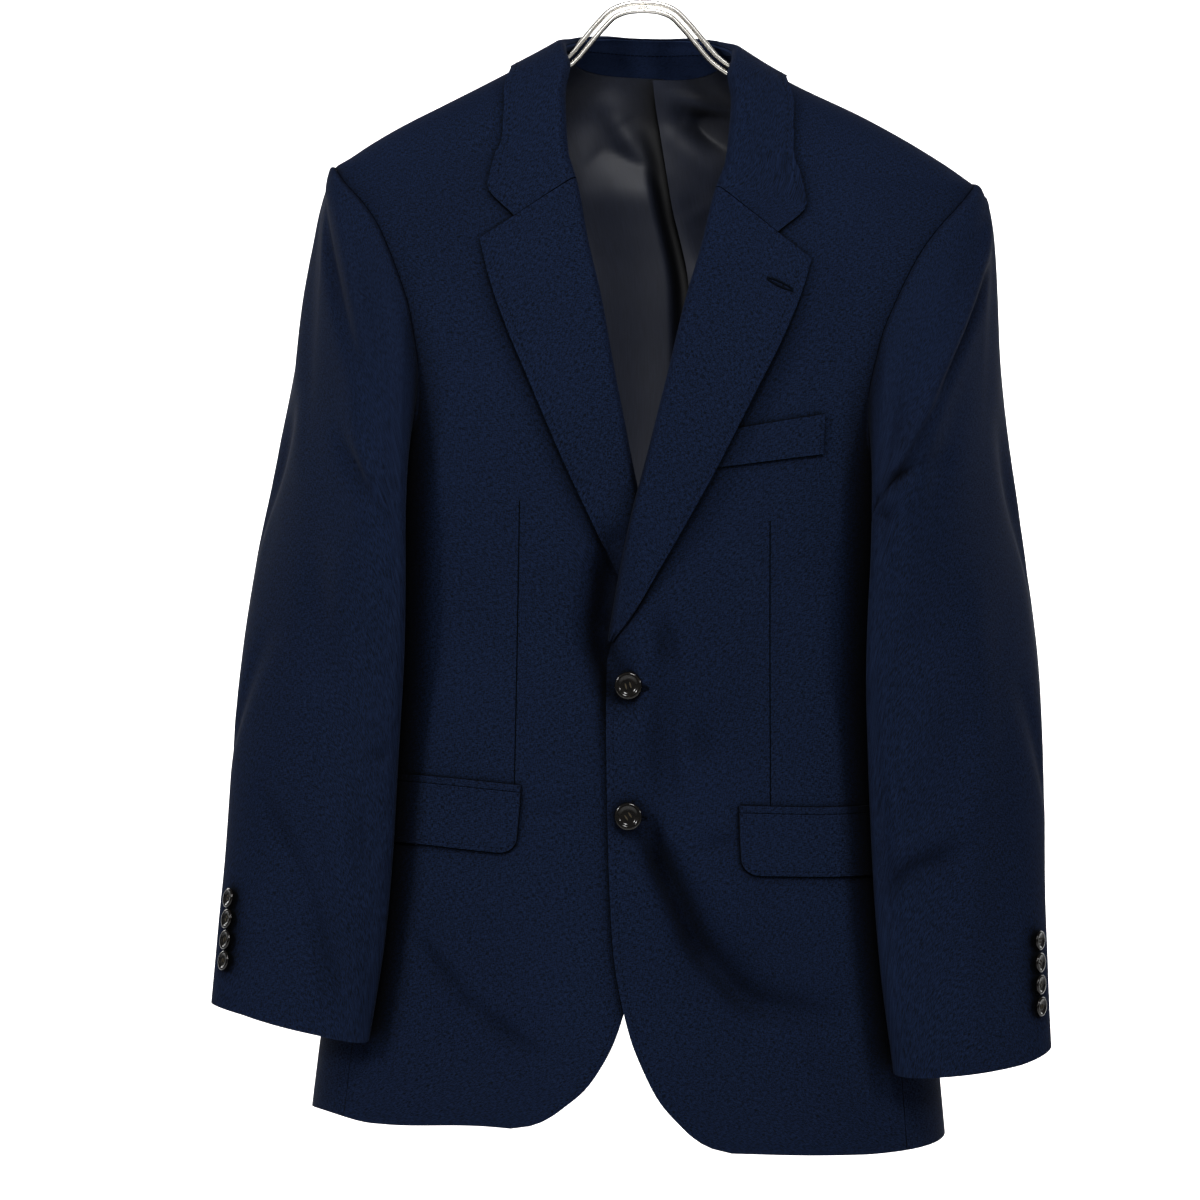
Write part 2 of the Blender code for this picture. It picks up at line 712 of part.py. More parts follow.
def ring_point(station, height):
    """A point of the sleeve's level ring."""
    psi = np.radians(90.0 - station)
    angle = np.radians(read(SLEEVE, "angle", height))
    long, short = read(SLEEVE, "long", height) * np.cos(psi), read(SLEEVE, "short", height) * np.sin(psi)
    x = read(SLEEVE, "x", height) - long * np.cos(angle) + short * np.sin(angle)
    y = read(SLEEVE, "y", height) - long * np.sin(angle) - short * np.cos(angle)
    return np.stack([x, y, height + 0 * x], axis=-1)


def cuff_height(station):
    """The cuff's height, which rises to the outer side."""
    x = ring_point(station, np.asarray(CUFF_INNER))[..., 0]
    share = (x - CUFF_INNER_X) / (CUFF_OUTER_X - CUFF_INNER_X)
    return CUFF_INNER + (CUFF_OUTER - CUFF_INNER) * share - CUFF_DIP * np.maximum(np.cos(np.radians(station)), 0)


def sleeve_form(station, down):
    """A point of the bare sleeve: down is 0 at the armhole, 1 at the level of the biceps and 2 at the cuff."""
    station, down = np.broadcast_arrays(np.asarray(station, float), np.asarray(down, float))
    start = torso_form(*armhole(station))
    heads = [read(SLEEVE_HEAD, name, station % 360) for name in ("out", "back", "down")]
    head = np.stack([heads[0], heads[1], -heads[2]], axis=-1)
    away = unit(head) * SEAM
    end = ring_point(station, BICEP + 0 * station)
    lead = (end - ring_point(station, BICEP - 10.0 + 0 * station)) / 10.0
    drop = 0.45 * (start[..., 2:] - BICEP)
    t = np.clip(down, 0, 1)[..., None]
    first, last = start + away + head, end + lead * drop
    upper = (
        (start + away) * (1 - t) ** 3 + 3 * first * t * (1 - t) ** 2 + 3 * last * t * t * (1 - t) + end * t**3
    )
    height = BICEP + (cuff_height(station) - BICEP) * np.clip(down - 1, 0, 1)
    return np.where(down[..., None] <= 1, upper, ring_point(station, height))


def sleeve_fold_height(side, station, down):
    """How far the sleeve's creases move its cloth out."""
    total = np.zeros_like(station)
    shown = (station + 90) % 360 - 90
    for fold in SLEEVE_FOLDS:
        if fold.side != side:
            continue
        turn_1, turn_2 = ((s + 90) % 360 - 90 for s in (fold.station1, fold.station2))
        line = (turn_1 * STATION_SPAN, fold.down1 * DOWN_SPAN, turn_2 * STATION_SPAN, fold.down2 * DOWN_SPAN)
        gap, share = along(shown * STATION_SPAN, down / 2 * DOWN_SPAN, *line)
        total += fold.depth * np.sin(math.pi * (0.12 + 0.76 * share)) * np.exp(-((gap / fold.width) ** 2))
    return total * ease(0.0, 0.25, down)


def sleeve_point(side, station, down, out):
    """A point off the sleeve's cloth, for the sleeve on the wearer's left; the other one is its mirror."""
    station, down = np.broadcast_arrays(np.asarray(station, float), np.asarray(down, float))
    step = 0.01
    lower, upper = np.maximum(down - step, 0), np.minimum(down + step, 2)
    around_it = sleeve_form(station + 1.0, down) - sleeve_form(station - 1.0, down)
    normal = unit(np.cross(around_it, sleeve_form(station, upper) - sleeve_form(station, lower)))
    lift = np.asarray(out, float) + sleeve_fold_height(side, station, down)
    point = sleeve_form(station, down) + normal * lift[..., None]
    wider = FULLNESS[side] * ease(0, 0.9, down) * ease(2, 1.2, down)
    point[..., 0] += wider * (point[..., 0] - SLEEVE_MIDDLE)
    return point


def sleeve_share(points, down):
    """How much of the front's shift each point of a sleeve takes."""
    low = ease(0, 1, down)
    return near_centre(points[..., 0]) * (1 - low) + read(SLIP, "share", points[..., 2]) * low


def sleeve(side, name, first, last, columns):
    """A cut piece of a sleeve, between two stations."""
    downs = column([*np.linspace(0, 1, HEAD_ROWS + 1) ** 1.15, *np.linspace(1, 2, ARM_ROWS + 1)[1:]])
    allow = 0.75 * SEAM / np.linalg.norm(
        [sleeve_form(s + 0.5, downs) - sleeve_form(s - 0.5, downs) for s in (first, last)], axis=-1
    )
    low, high = first + allow[0], last - allow[1]
    stations = low + (high - low) * shares(columns)
    outer, inner = (sleeve_point(side, stations, downs, -depth) for depth in (0, CLOTH))
    share = sleeve_share(outer, downs + 0 * stations)
    mirror = [side, 1, 1]
    return wall(name, outer * mirror, inner * mirror, NAVY, share)


# ---------------------------------------------------------------- pockets

FLAP_START, FLAP_TURN = 79.0, 67.0  # from this distance off the centre line to this turn
FLAP_TOP = {-1: -464.0, 1: -469.0}
FLAP_DEEP = 45.0
FLAP_RISE = 0.02  # how the pocket's line rises to the side
CORNER = 11.0
JET_TALL = 5.0
JET_THICK = 1.2
JET_LIFT = CLEAR + JET_THICK


def pocket_grid(top, bottom, corner, columns):
    """The turns and heights of a flap or jet, whose lower corners are rounded."""
    start = turn_at(FLAP_START, top)
    girth = math.radians(FLAP_TURN - start) * read(TORSO, "half_width", top) * 0.78
    spacing = shares(columns) if corner == 0 else (1 - np.cos(math.pi * shares(columns))) / 2
    turns = start + (FLAP_TURN - start) * spacing
    from_end = np.minimum(spacing, 1 - spacing) * girth
    inside = np.clip(corner - from_end, 0, corner)
    low = bottom + corner - np.sqrt(corner**2 - inside**2)
    rise = FLAP_RISE * spacing * girth
    levels = (top + rise) * (1 - column([0, 0.5, 1])) + (low + rise) * column([0, 0.5, 1])
    return turns + 0 * levels, levels


def pocket_piece(side, name, top, bottom, corner, columns, lift, thickness):
    """A flap or a jet, lying on the front and side panels."""
    turns, levels = pocket_grid(top, bottom, corner, columns)
    shift = lap(side, read(TORSO, "half_width", levels) * np.sin(np.radians(turns)), levels)
    outer, inner = (torso(turns * side, levels, shift + lift - depth) for depth in (0, thickness))
    return wall(name, outer, inner, NAVY)


WELT = table("number left_x left_z right_x right_z", [(0, 54, -221, 132.6, -205), (1, 62, -193, 133, -176)])
WELT_THICK = 1.5


def breast_welt(name):
    """The breast pocket's welt, which starts under the lapel."""
    low, high = WELT
    rows = column([0, 0.5, 1])
    left = [low.left_x + (high.left_x - low.left_x) * rows, low.left_z + (high.left_z - low.left_z) * rows]
    right = [low.right_x + (high.right_x - low.right_x) * rows, low.right_z + (high.right_z - low.right_z) * rows]
    x, z = (a + (b - a) * shares(7) for a, b in zip(left, right))
    outer, inner = (front_point(1, x, z, CLEAR + WELT_THICK - depth) for depth in (0, WELT_THICK))
    return wall(name, outer, inner, NAVY)


# ---------------------------------------------------------------- buttons

FRONT_BUTTON, CUFF_BUTTON = 20.0, 14.6
BUTTON_PROFILE = [(0.0, 0.0), (0.80, 0.0), (1.0, 0.3), (1.0, 0.75), (0.86, 1.0), (0.70, 0.72), (0.0, 0.66)]
BUTTON_TALL = 3.6  # of a front button; a cuff button is smaller in proportion
FRONT_BUTTONS = [Spot(-2.9, -382.0), Spot(-0.4, -476.0)]
CUFF_BUTTONS = 4
CUFF_BUTTON_STATION = 311.0
CUFF_BUTTON_FIRST = 36.0  # from the cuff's edge to the lowest button's centre
CUFF_BUTTON_STEP = 15.2


def button_mesh(name, diameter, steps):
    """A rimmed button as a turned profile, with its back on the level z = 0."""
    tall = BUTTON_TALL * diameter / FRONT_BUTTON
    bm = bmesh.new()
    points = [bm.verts.new(Vector((r * diameter / 2, 0.0, -z * tall)) * MM) for r, z in BUTTON_PROFILE]
    edges = [bm.edges.new(pair) for pair in zip(points, points[1:])]
    bmesh.ops.spin(
        bm, geom=points + edges, axis=(0, 0, 1), cent=(0, 0, 0), angle=math.tau, steps=steps, use_merge=True
    )
    bmesh.ops.remove_doubles(bm, verts=bm.verts, dist=1e-6)
    bmesh.ops.transform(bm, matrix=Matrix.Scale(-1, 4, (0, 0, 1)), verts=bm.verts)
    bmesh.ops.recalc_face_normals(bm, faces=bm.faces)
    mesh = bpy.data.meshes.new(name)
    bm.to_mesh(mesh)
    bm.free()
    mesh.shade_smooth()
    mesh.set_sharp_from_angle(angle=math.radians(40))
    return mesh


def place_button(name, mesh, seat, axis):
    """Stands a button on its seat, with its face along axis; both are in the jacket's frame."""
    thing = add(name, mesh, HORN, HANGING)
    thing.location = Vector(seat) * MM
    thing.rotation_mode = "QUATERNION"
    thing.rotation_quaternion = Vector(axis).to_track_quat("Z", "Y")
    return thing


def front_buttons():
    """The two fastened buttons on the centre front."""
    for number, spot in enumerate(FRONT_BUTTONS, 1):
        mesh = button_mesh("front_button", FRONT_BUTTON, 20)
        seat, above = (settle(front_point(1, spot.x, spot.height, out)) for out in (0.6, 10.0))
        place_button(f"front_button_{number}", mesh, seat, above - seat)


def cuff_buttons(side, word):
    """A row of buttons up each sleeve's hind seam."""
    for number in range(CUFF_BUTTONS):
        up = CUFF_BUTTON_FIRST + number * CUFF_BUTTON_STEP
        down = 2.0 - up / (BICEP - CUFF_OUTER)
        ends = []
        for out in (0.9, 10.0):
            point = sleeve_point(side, CUFF_BUTTON_STATION, down, out)
            ends.append(settle(point * [side, 1, 1], sleeve_share(point, np.asarray(down))))
        mesh = button_mesh("cuff_button", CUFF_BUTTON, 12)
        place_button(f"cuff_button_{word}_{number + 1}", mesh, ends[0], ends[1] - ends[0])


# ---------------------------------------------------------------- the hanger

WIRE = 2.0  # radius
ROD_SPACING = 6.1  # between the two rods' middles
HOOK_RADIUS = 24.0  # to the middle of the wire
HOOK_END = 205.0  # degrees, from the right round over the top
STEM_BOTTOM = -61.6
HANGER_LEAN = 1.5  # the arch leans this far to the wearer's left
# The lower rod's arch on the wearer's left side, mirrored for the other.
ARCH = table(
    "x z",
    [(0, -70.4), (10, -71.2), (20, -74.5), (30, -83.8), (41, -96.8), (51, -108.4), (62, -117.0)],
)
ARM_CONTACTS = [112, 135, 160, 185, 208, 222]  # distances off the jacket's centre where the cloth lies on the rod
ROD_CLEAR = 1.4
ROD_POINT_EVERY = 12.0


def world_of(point):
    """A point of the jacket's frame, as it hangs."""
    x, y, z = settle(point)
    return np.array(
        [x * math.cos(TILT) + z * math.sin(TILT) + SIDE_SLIP, y, -x * math.sin(TILT) + z * math.cos(TILT) - DROP]
    )


def crest_point(side, x):
    """The shoulder's crest at a distance off the centre."""
    heights = np.linspace(SHOULDER_TIP, 104, 300)
    height = np.interp(x, read(TORSO, "half_width", heights)[::-1], heights[::-1])
    return world_of([side * x, 0.0, height])


def under_crest(side, x, inset):
    """A point that lies square under the crest."""
    slope = unit(crest_point(side, x + 4.0) - crest_point(side, x - 4.0))
    return crest_point(side, x) + side * inset * np.array([slope[2], 0.0, -slope[0]])


def smooth_line(points, every):
    """Points at even distances on a smooth curve through a few points."""
    points = np.asarray(points, float)
    length = np.concatenate([[0], np.cumsum(np.linalg.norm(np.diff(points, axis=0), axis=1))])
    rows = [table("at value", zip(length, points[:, axis])) for axis in range(points.shape[1])]
    places = np.linspace(0, length[-1], max(2, round(length[-1] / every)) + 1)
    return np.stack([read(row, "value", places) for row in rows], axis=-1)


def wire(name, points, cyclic=False):
    """A round wire along points in the world, in millimetres."""
    curve = bpy.data.curves.new(name, "CURVE")
    curve.dimensions = "3D"
    curve.bevel_depth = WIRE * MM
    curve.bevel_resolution = 2
    curve.use_fill_caps = not cyclic
    spline = curve.splines.new("POLY")
    spline.points.add(len(points) - 1)
    for spot, (x, y, z) in zip(spline.points, points):
        spot.co = (x * MM, y * MM, z * MM, 1.0)
    spline.use_cyclic_u = cyclic
    return add(name, curve, CHROME)


def lower_rod():
    """The lower rod's middle line from the wearer's right end to the left end, in the world."""
    line = []
    for side in (-1, 1):
        arch = [(side * r.x + HANGER_LEAN, 0.0, r.z) for r in ARCH[(side < 0) :]]
        inset = CLOTH + ROD_CLEAR + WIRE + ROD_SPACING
        half = arch + [tuple(under_crest(side, x, inset)) for x in ARM_CONTACTS]
        line = half[::-1] + line if side < 0 else line + half
    return smooth_line(line, ROD_POINT_EVERY)


def hanger():
    """The two nested rods as one closed loop of wire, the weld between them, and the hook."""
    low = lower_rod()
    run = np.gradient(low, axis=0)
    up = unit(np.stack([-run[:, 2], 0 * run[:, 1], run[:, 0]], axis=-1))
    high = low + up * ROD_SPACING
    turns = []
    for end, start in ((low[-1], high[-1]), (high[0], low[0])):
        middle, arm = (end + start) / 2, (start - end) / 2
        outward = np.array([arm[2], 0.0, -arm[0]])
        turns.append(
            [middle - arm * math.cos(a) + outward * math.sin(a) for a in np.linspace(0, math.pi, 7)[1:-1]]
        )
    wire("hanger_rods", [*low, *turns[0], *high[::-1], *turns[1]], cyclic=True)

    centre = WIRE - HOOK_RADIUS
    angles = np.radians(np.linspace(-90, HOOK_END, 25))
    arc = [(HOOK_RADIUS * math.cos(a), 0.0, centre + HOOK_RADIUS * math.sin(a)) for a in angles]
    stem = [(0.0, 0.0, STEM_BOTTOM), (0.0, 0.0, (STEM_BOTTOM + arc[0][2]) / 2)]
    wire("hanger_hook", stem + arc)

    bm = bmesh.new()
    bmesh.ops.create_cube(bm, size=1.0)
    size = (7.0, 3.4, ROD_SPACING - 2 * WIRE - 0.8)
    bmesh.ops.scale(bm, vec=Vector(size) * MM, verts=bm.verts)
    weld = bpy.data.meshes.new("hanger_weld")
    bm.to_mesh(weld)
    bm.free()
    thing = add("hanger_weld", weld, CHROME)
    thing.location = Vector((HANGER_LEAN, 0.0, ARCH[0].z + ROD_SPACING / 2)) * MM


# ---------------------------------------------------------------- the whole jacket


def main():
    """Builds every piece."""
    for side, word in ((-1, "right"), (1, "left")):
        front(side, f"front_{word}")
        side_panel(side, f"side_{word}")
        back(side, f"back_{word}")
        back_lining(side, f"back_lining_{word}")
        lapel(side, f"lapel_{word}")
        sleeve(side, f"top_sleeve_{word}", HIND_SEAM - 360, FORE_SEAM, 14)
        sleeve(side, f"under_sleeve_{word}", FORE_SEAM, HIND_SEAM, 10)
        top = FLAP_TOP[side]
        low = top - FLAP_DEEP
        pocket_piece(side, f"pocket_flap_{word}", top - SEAM, low, CORNER, 14, CLEAR + FACING, FACING)
        pocket_piece(side, f"pocket_jet_{word}", top + JET_TALL, top, 0, 10, JET_LIFT, JET_THICK)
        cuff_buttons(side, word)
    collar_fall("collar_fall")
    collar_stand("collar_stand")
    breast_welt("breast_welt")
    front_buttons()
    hanger()


main()
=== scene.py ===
"""Dresses a suit jacket on a wire hanger: suiting, lining, horn buttons, stitching and chromed wire.

The cloth is laid over the same forms as the solids, in a finer grid and with its smaller creases. Lengths are in
millimetres and become metres when a mesh is made. The jacket's own frame has x across, y from front (-) to back
(+) and z up from the shoulder tips. The jacket is then tilted and placed under the hook.
"""

import math
from collections import namedtuple
from functools import partial

import bmesh
import bpy
import numpy as np
from bpy.props import FloatProperty, PointerProperty, StringProperty
from mathutils import Matrix, Vector


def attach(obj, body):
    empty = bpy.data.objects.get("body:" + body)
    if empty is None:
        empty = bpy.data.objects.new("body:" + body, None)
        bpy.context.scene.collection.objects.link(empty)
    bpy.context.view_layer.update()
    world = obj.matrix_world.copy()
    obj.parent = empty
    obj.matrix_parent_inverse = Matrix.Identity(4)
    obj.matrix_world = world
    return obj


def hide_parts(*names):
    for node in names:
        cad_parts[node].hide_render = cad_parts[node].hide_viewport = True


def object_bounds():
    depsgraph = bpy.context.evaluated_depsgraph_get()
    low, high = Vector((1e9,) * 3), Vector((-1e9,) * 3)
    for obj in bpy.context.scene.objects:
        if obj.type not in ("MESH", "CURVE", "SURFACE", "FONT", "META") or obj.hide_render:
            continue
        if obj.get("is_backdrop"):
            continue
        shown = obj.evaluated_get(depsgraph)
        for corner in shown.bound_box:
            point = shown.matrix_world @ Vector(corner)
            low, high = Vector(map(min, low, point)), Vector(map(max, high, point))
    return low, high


bl_info = {
    "name": "Suit jacket on a wire hanger",
    "version": (1, 0, 0),
    "blender": (4, 5, 0),
    "location": "View3D > Sidebar > Jacket",
    "description": "Makes the jacket's cloth, trim and hanger over the packed frame",
    "category": "Add Mesh",
}

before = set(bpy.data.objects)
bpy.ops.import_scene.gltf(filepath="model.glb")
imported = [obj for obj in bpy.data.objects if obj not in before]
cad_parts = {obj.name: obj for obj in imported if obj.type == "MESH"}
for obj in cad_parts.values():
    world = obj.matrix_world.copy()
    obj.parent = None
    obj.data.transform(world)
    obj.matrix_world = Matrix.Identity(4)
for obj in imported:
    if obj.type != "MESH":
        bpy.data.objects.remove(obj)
CAD_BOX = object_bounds()
BODY = "root"

MM = 0.001
WORD = {-1: "right", 1: "left"}  # the wearer's sides, by the sign of x
# Cloth
CLOTH = 2.0  # wall of a body or sleeve panel: shell cloth and its canvas
FACING = 1.8  # wall of the lapel, collar and pocket pieces
LINING = 1.4
SEAM = 0.4  # distance between two pieces at a seam
CLEAR = 0.6  # distance between a piece and the layer that it lies on
# How the jacket hangs
TILT = math.radians(1.55)  # wearer's left shoulder lower
DROP = 199.0  # from the hook's inner top down to the shoulder tips' level
SIDE_SLIP = 13.7  # the jacket has slid this far along the hanger
FRONT_SHIFT = -11.0  # the front and neck hang this far to the wearer's right
FRONT_SHEAR = 0.035  # the wearer's left front hangs lower by this share of x
SHOULDER_SAG = 5.5  # how far the wearer's right shoulder sinks towards its tip
RIGHT_HEM_RISE = 8.0  # how much higher the wearer's right front is at its rounded corner
RIGHT_SIDE_RISE = 5.0  # and the hem at that side
# Heights in the jacket's frame
HEM = -714.0
BREAK = -357.0  # where the lapel starts to turn back
SHOULDER_TIP = 3.0
ARMPIT = -240.0
ARMHOLE_MIDDLE, ARMHOLE_REACH = (SHOULDER_TIP + ARMPIT) / 2, (SHOULDER_TIP - ARMPIT) / 2
FRONT_TOP = 84.0
SIDE_SEAM = 60.0  # degrees round the torso from the centre front
BACK_SEAM = 116.0
SEAM_STATION = 150  # the turn of the armhole where both side seams meet it
LAP_LIFT = 8.6  # how far the top front stands off the under front at the lapel's break
LAP_LIFT_LOW = 3.0


def listed(names, rows):
    """Rows with named columns, in the order given."""
    row = namedtuple("Row", names)
    return [row(*r) for r in rows]


def table(names, rows):
    """Rows with named columns, sorted by the first one."""
    return sorted(listed(names, rows), key=lambda r: r[0])


def read(rows, column, key):
    """The column at key, on a smooth curve through the rows that doesn't overshoot."""
    x = np.array([r[0] for r in rows], float)
    y = np.array([getattr(r, column) for r in rows], float)
    step = np.diff(x)
    slope = np.diff(y) / step
    tangent = np.zeros_like(y)
    tangent[0], tangent[-1] = slope[0], slope[-1]
    same = slope[:-1] * slope[1:] > 0
    w1, w2 = 2 * step[1:] + step[:-1], step[1:] + 2 * step[:-1]
    with np.errstate(divide="ignore", invalid="ignore"):
        mean = (w1 + w2) / (w1 / slope[:-1] + w2 / slope[1:])
    tangent[1:-1] = np.where(same, mean, 0.0)
    key = np.clip(np.asarray(key, float), x[0], x[-1])
    i = np.clip(np.searchsorted(x, key, side="right") - 1, 0, len(x) - 2)
    t = (key - x[i]) / step[i]
    return (
        y[i] * (1 + 2 * t) * (1 - t) ** 2
        + tangent[i] * step[i] * t * (1 - t) ** 2
        + y[i + 1] * t * t * (3 - 2 * t)
        - tangent[i + 1] * step[i] * t * t * (1 - t)
    )


def ease(low, high, value):
    """0 below low, 1 above high and smooth between them. low may be the larger of the two."""
    t = np.clip((np.asarray(value, float) - low) / (high - low), 0.0, 1.0)
    return t * t * (3 - 2 * t)


def column(values):
    """A list of numbers as one column."""
    return np.asarray(values, float)[:, None]


def unit(vectors):
    """Vectors of length 1."""
    return vectors / np.maximum(np.linalg.norm(vectors, axis=-1, keepdims=True), 1e-9)


# ---------------------------------------------------------------- the torso's form

TORSO = table("height half_width front_depth back_depth", [
    (124, 34, 17, 33), (116, 43.5, 24, 38), (112, 49, 29, 41), (104, 57.6, 37, 45), (97, 68, 46, 49),
    (89, 81, 52, 52), (73, 111, 60, 56), (49, 165, 67, 60), (25, 209, 71, 61), (9, 233, 73, 61),
    (0, 243, 74, 61), (-30, 246, 79, 63), (-60, 246, 83, 64), (-117, 240, 88, 64), (-180, 226, 90, 62),
    (-240, 210, 90, 58), (-300, 199, 88, 54), (-360, 196, 86, 51), (-440, 203, 87, 52),
    (-560, 221, 92, 56), (-640, 232, 96, 59), (-714, 240, 98, 61),
])
FLATNESS = 0.85  # below 1 the front and back are flatter than an ellipse
NORMAL_STEP = 0.8
# A fold's line runs from (x1, z1) to (x2, z2); depth is out (+) or in (-), side is 1 for the wearer's left.
FOLDS = listed("face side x1 z1 x2 z2 width depth", [
    ("front", 1, 22, -492, 60, -600, 15, -4.5),
    ("front", 1, 60, -600, 150, -655, 24, -3.5),
    ("front", 1, 62, -500, 110, -585, 30, 4.0),
    ("front", 1, 30, -385, 70, -440, 16, -2.0),
    ("front", -1, 95, -560, 130, -700, 26, -2.5),
    ("front", -1, 50, -420, 95, -540, 30, 2.0),
    ("front", 1, 140, -60, 152, -150, 12, -1.4),
    ("front", -1, 140, -80, 148, -170, 12, -1.2),
    ("front", 1, 120, -560, 135, -714, 26, 2.6),
    ("back", 1, 95, -20, 60, -330, 30, -3.0),
    ("back", -1, 95, -20, 60, -330, 30, -3.0),
    ("back", 1, 110, -420, 125, -712, 30, -4.0),
    ("back", -1, 100, -440, 120, -712, 30, -4.0),
    ("back", 1, 150, -130, 135, -300, 20, 2.5),
    ("back", -1, 150, -120, 140, -290, 20, 2.5),
])
# Smaller creases that the solids leave out, in the same columns.
CREASES = listed("face side x1 z1 x2 z2 width depth", [
    ("front", -1, 17, -284, 25, -352, 15, -21.0),
    ("front", -1, 25, -345, 8, -396, 14, -19.0),
    ("front", 1, 21, -374, 28, -470, 13, -9.0),
    ("front", 1, 12, -480, 27, -518, 9, -11.0),
    ("front", 1, 25, -510, 54, -568, 11, -14.0),
    ("front", 1, 52, -565, 92, -606, 13, -14.0),
    ("front", 1, 88, -604, 148, -616, 13, -9.0),
    ("front", 1, 60, -516, 108, -576, 14, 4.0),
    ("front", 1, 48, -408, 53, -438, 9, -5.0),
    ("front", 1, 38, -352, 44, -400, 9, 1.4),
    ("front", 1, 66, -345, 60, -420, 10, 1.2),
    ("front", -1, 151, -582, 118, -620, 7, -6.0),
    ("front", -1, 118, -620, 66, -652, 7, -5.4),
    ("front", -1, 142, -590, 92, -650, 9, 1.4),
    ("front", -1, 76, -480, 30, -472, 5, -2.0),
    ("front", 1, 56, -496, 76, -490, 5, -2.4),
    ("front", -1, 112, -500, 150, -560, 16, 1.6),
    ("front", -1, 128, -330, 140, -430, 12, 1.6),
    ("front", 1, 132, -330, 146, -440, 12, 1.5),
    ("front", 1, 118, -110, 132, -170, 9, -0.9),
    ("front", -1, 118, -110, 130, -175, 9, -0.9),
    ("back", 1, 30, 40, 120, -10, 16, -1.6),
    ("back", -1, 30, 40, 115, -15, 16, -1.6),
    ("back", 1, 40, -330, 150, -360, 18, -1.8),
    ("back", -1, 50, -345, 150, -372, 18, -1.8),
    ("back", 1, 30, -120, 26, -300, 22, 1.5),
    ("back", -1, 34, -110, 28, -280, 22, 1.5),
    ("front", 1, 20, -336, 28, -366, 7, -6.0),
])


def along(px, pz, x1, z1, x2, z2):
    """How far a point lies from a line's nearest point, and the share of the line where that is."""
    dx, dz = x2 - x1, z2 - z1
    t = np.clip(((px - x1) * dx + (pz - z1) * dz) / (dx * dx + dz * dz), 0, 1)
    return np.hypot(px - x1 - t * dx, pz - z1 - t * dz), t


def swelling(fold, gap, share, end=0.15):
    """How far a fold moves the cloth at a gap from its line: full half-way along it and less at its ends."""
    return fold.depth * np.sin(math.pi * (end + (1 - 2 * end) * share)) * np.exp(-((gap / fold.width) ** 2))


def fold_height(turn, height):
    """How far the folds and creases move the torso's cloth out, at a turn and a height."""
    x = read(TORSO, "half_width", height) * np.sin(np.radians(turn))
    total = np.zeros_like(x)
    for fold in FOLDS + CREASES:
        facing = (np.cos(np.radians(turn)) > 0) == (fold.face == "front")
        total += np.where(facing, swelling(fold, *along(x * fold.side, height, *fold[2:6])), 0.0)
    return total


def torso_form(turn, height):
    """A point of the bare torso form: turn in degrees from the centre front, + to the wearer's left."""
    angle = np.radians(turn)
    c = np.cos(angle)
    depth = np.where(c > 0, -read(TORSO, "front_depth", height), read(TORSO, "back_depth", height))
    across = read(TORSO, "half_width", height) * np.sin(angle)
    return np.stack([across, depth * np.abs(c) ** FLATNESS, np.asarray(height, float) + 0 * angle], axis=-1)


def torso(turn, height, out):
    """A point that lies out millimetres off the torso's folded cloth."""
    turn, height = np.broadcast_arrays(np.asarray(turn, float), np.asarray(height, float))
    across = torso_form(turn + NORMAL_STEP, height) - torso_form(turn - NORMAL_STEP, height)
    up = torso_form(turn, height + NORMAL_STEP) - torso_form(turn, height - NORMAL_STEP)
    lift = np.asarray(out, float) + fold_height(turn, height)
    return torso_form(turn, height) + unit(np.cross(across, up)) * lift[..., None]


def turn_at(x, height):
    """The turn of the front's point that is x off the centre, in degrees."""
    half = read(TORSO, "half_width", height)
    return np.degrees(np.arcsin(np.clip(np.asarray(x, float) / half, -0.999, 0.999)))


def near_centre(x):
    """1 at the centre line and 0 at the sides."""
    return np.clip(1 - (x / 250.0) ** 2, 0, 1) ** 0.4


def settle(points, share=None):
    """Moves points from the even form to how the jacket hangs: shifted, sheared and sagging at one shoulder."""
    p = np.array(points, float)
    x, y, z = p[..., 0].copy(), p[..., 1], p[..., 2].copy()
    p[..., 2] -= SHOULDER_SAG * ease(-256, -222, x) * ease(-90, -165, x) * ease(-60, 10, z)
    p[..., 2] += RIGHT_SIDE_RISE * ease(-185, -235, x) * ease(-600, HEM, z)
    p[..., 0] += FRONT_SHIFT * (near_centre(x) if share is None else share)
    p[..., 2] -= FRONT_SHEAR * x * np.clip(-y / 70.0, 0, 1)
    return p


# ---------------------------------------------------------------- the armhole

# From the shoulder tip (station 0) down to the armpit (180): the torso's turn on the front and on the back.
ARMHOLE = table("station front back", [
    (0, 90.0, 90.0),
    (15, 80.0, 98.0),
    (30, 70.0, 106.0),
    (45, 60.5, 114.0),
    (60, 53.5, 121.0),
    (75, 49.0, 126.0),
    (90, 46.2, 129.0),
    (105, 45.5, 130.0),
    (120, 47.0, 128.5),
    (135, 51.5, 123.5),
    (150, SIDE_SEAM - 1.0, BACK_SEAM),
    (165, 73.0, 104.0),
    (180, 90.0, 90.0),
])


def armhole_height(station):
    """The height of a station of the armhole."""
    return ARMHOLE_MIDDLE + ARMHOLE_REACH * np.cos(np.radians(station))


def armhole(station):
    """(turn, height) at a station from 0 to 360: 90 is the front, 180 the armpit and 270 the back."""
    station = np.asarray(station, float) % 360
    down = np.where(station <= 180, station, 360 - station)
    front_turn, back_turn = read(ARMHOLE, "front", down), read(ARMHOLE, "back", down)
    return np.where(station <= 180, front_turn, back_turn), armhole_height(down)


# ---------------------------------------------------------------- lines over the front

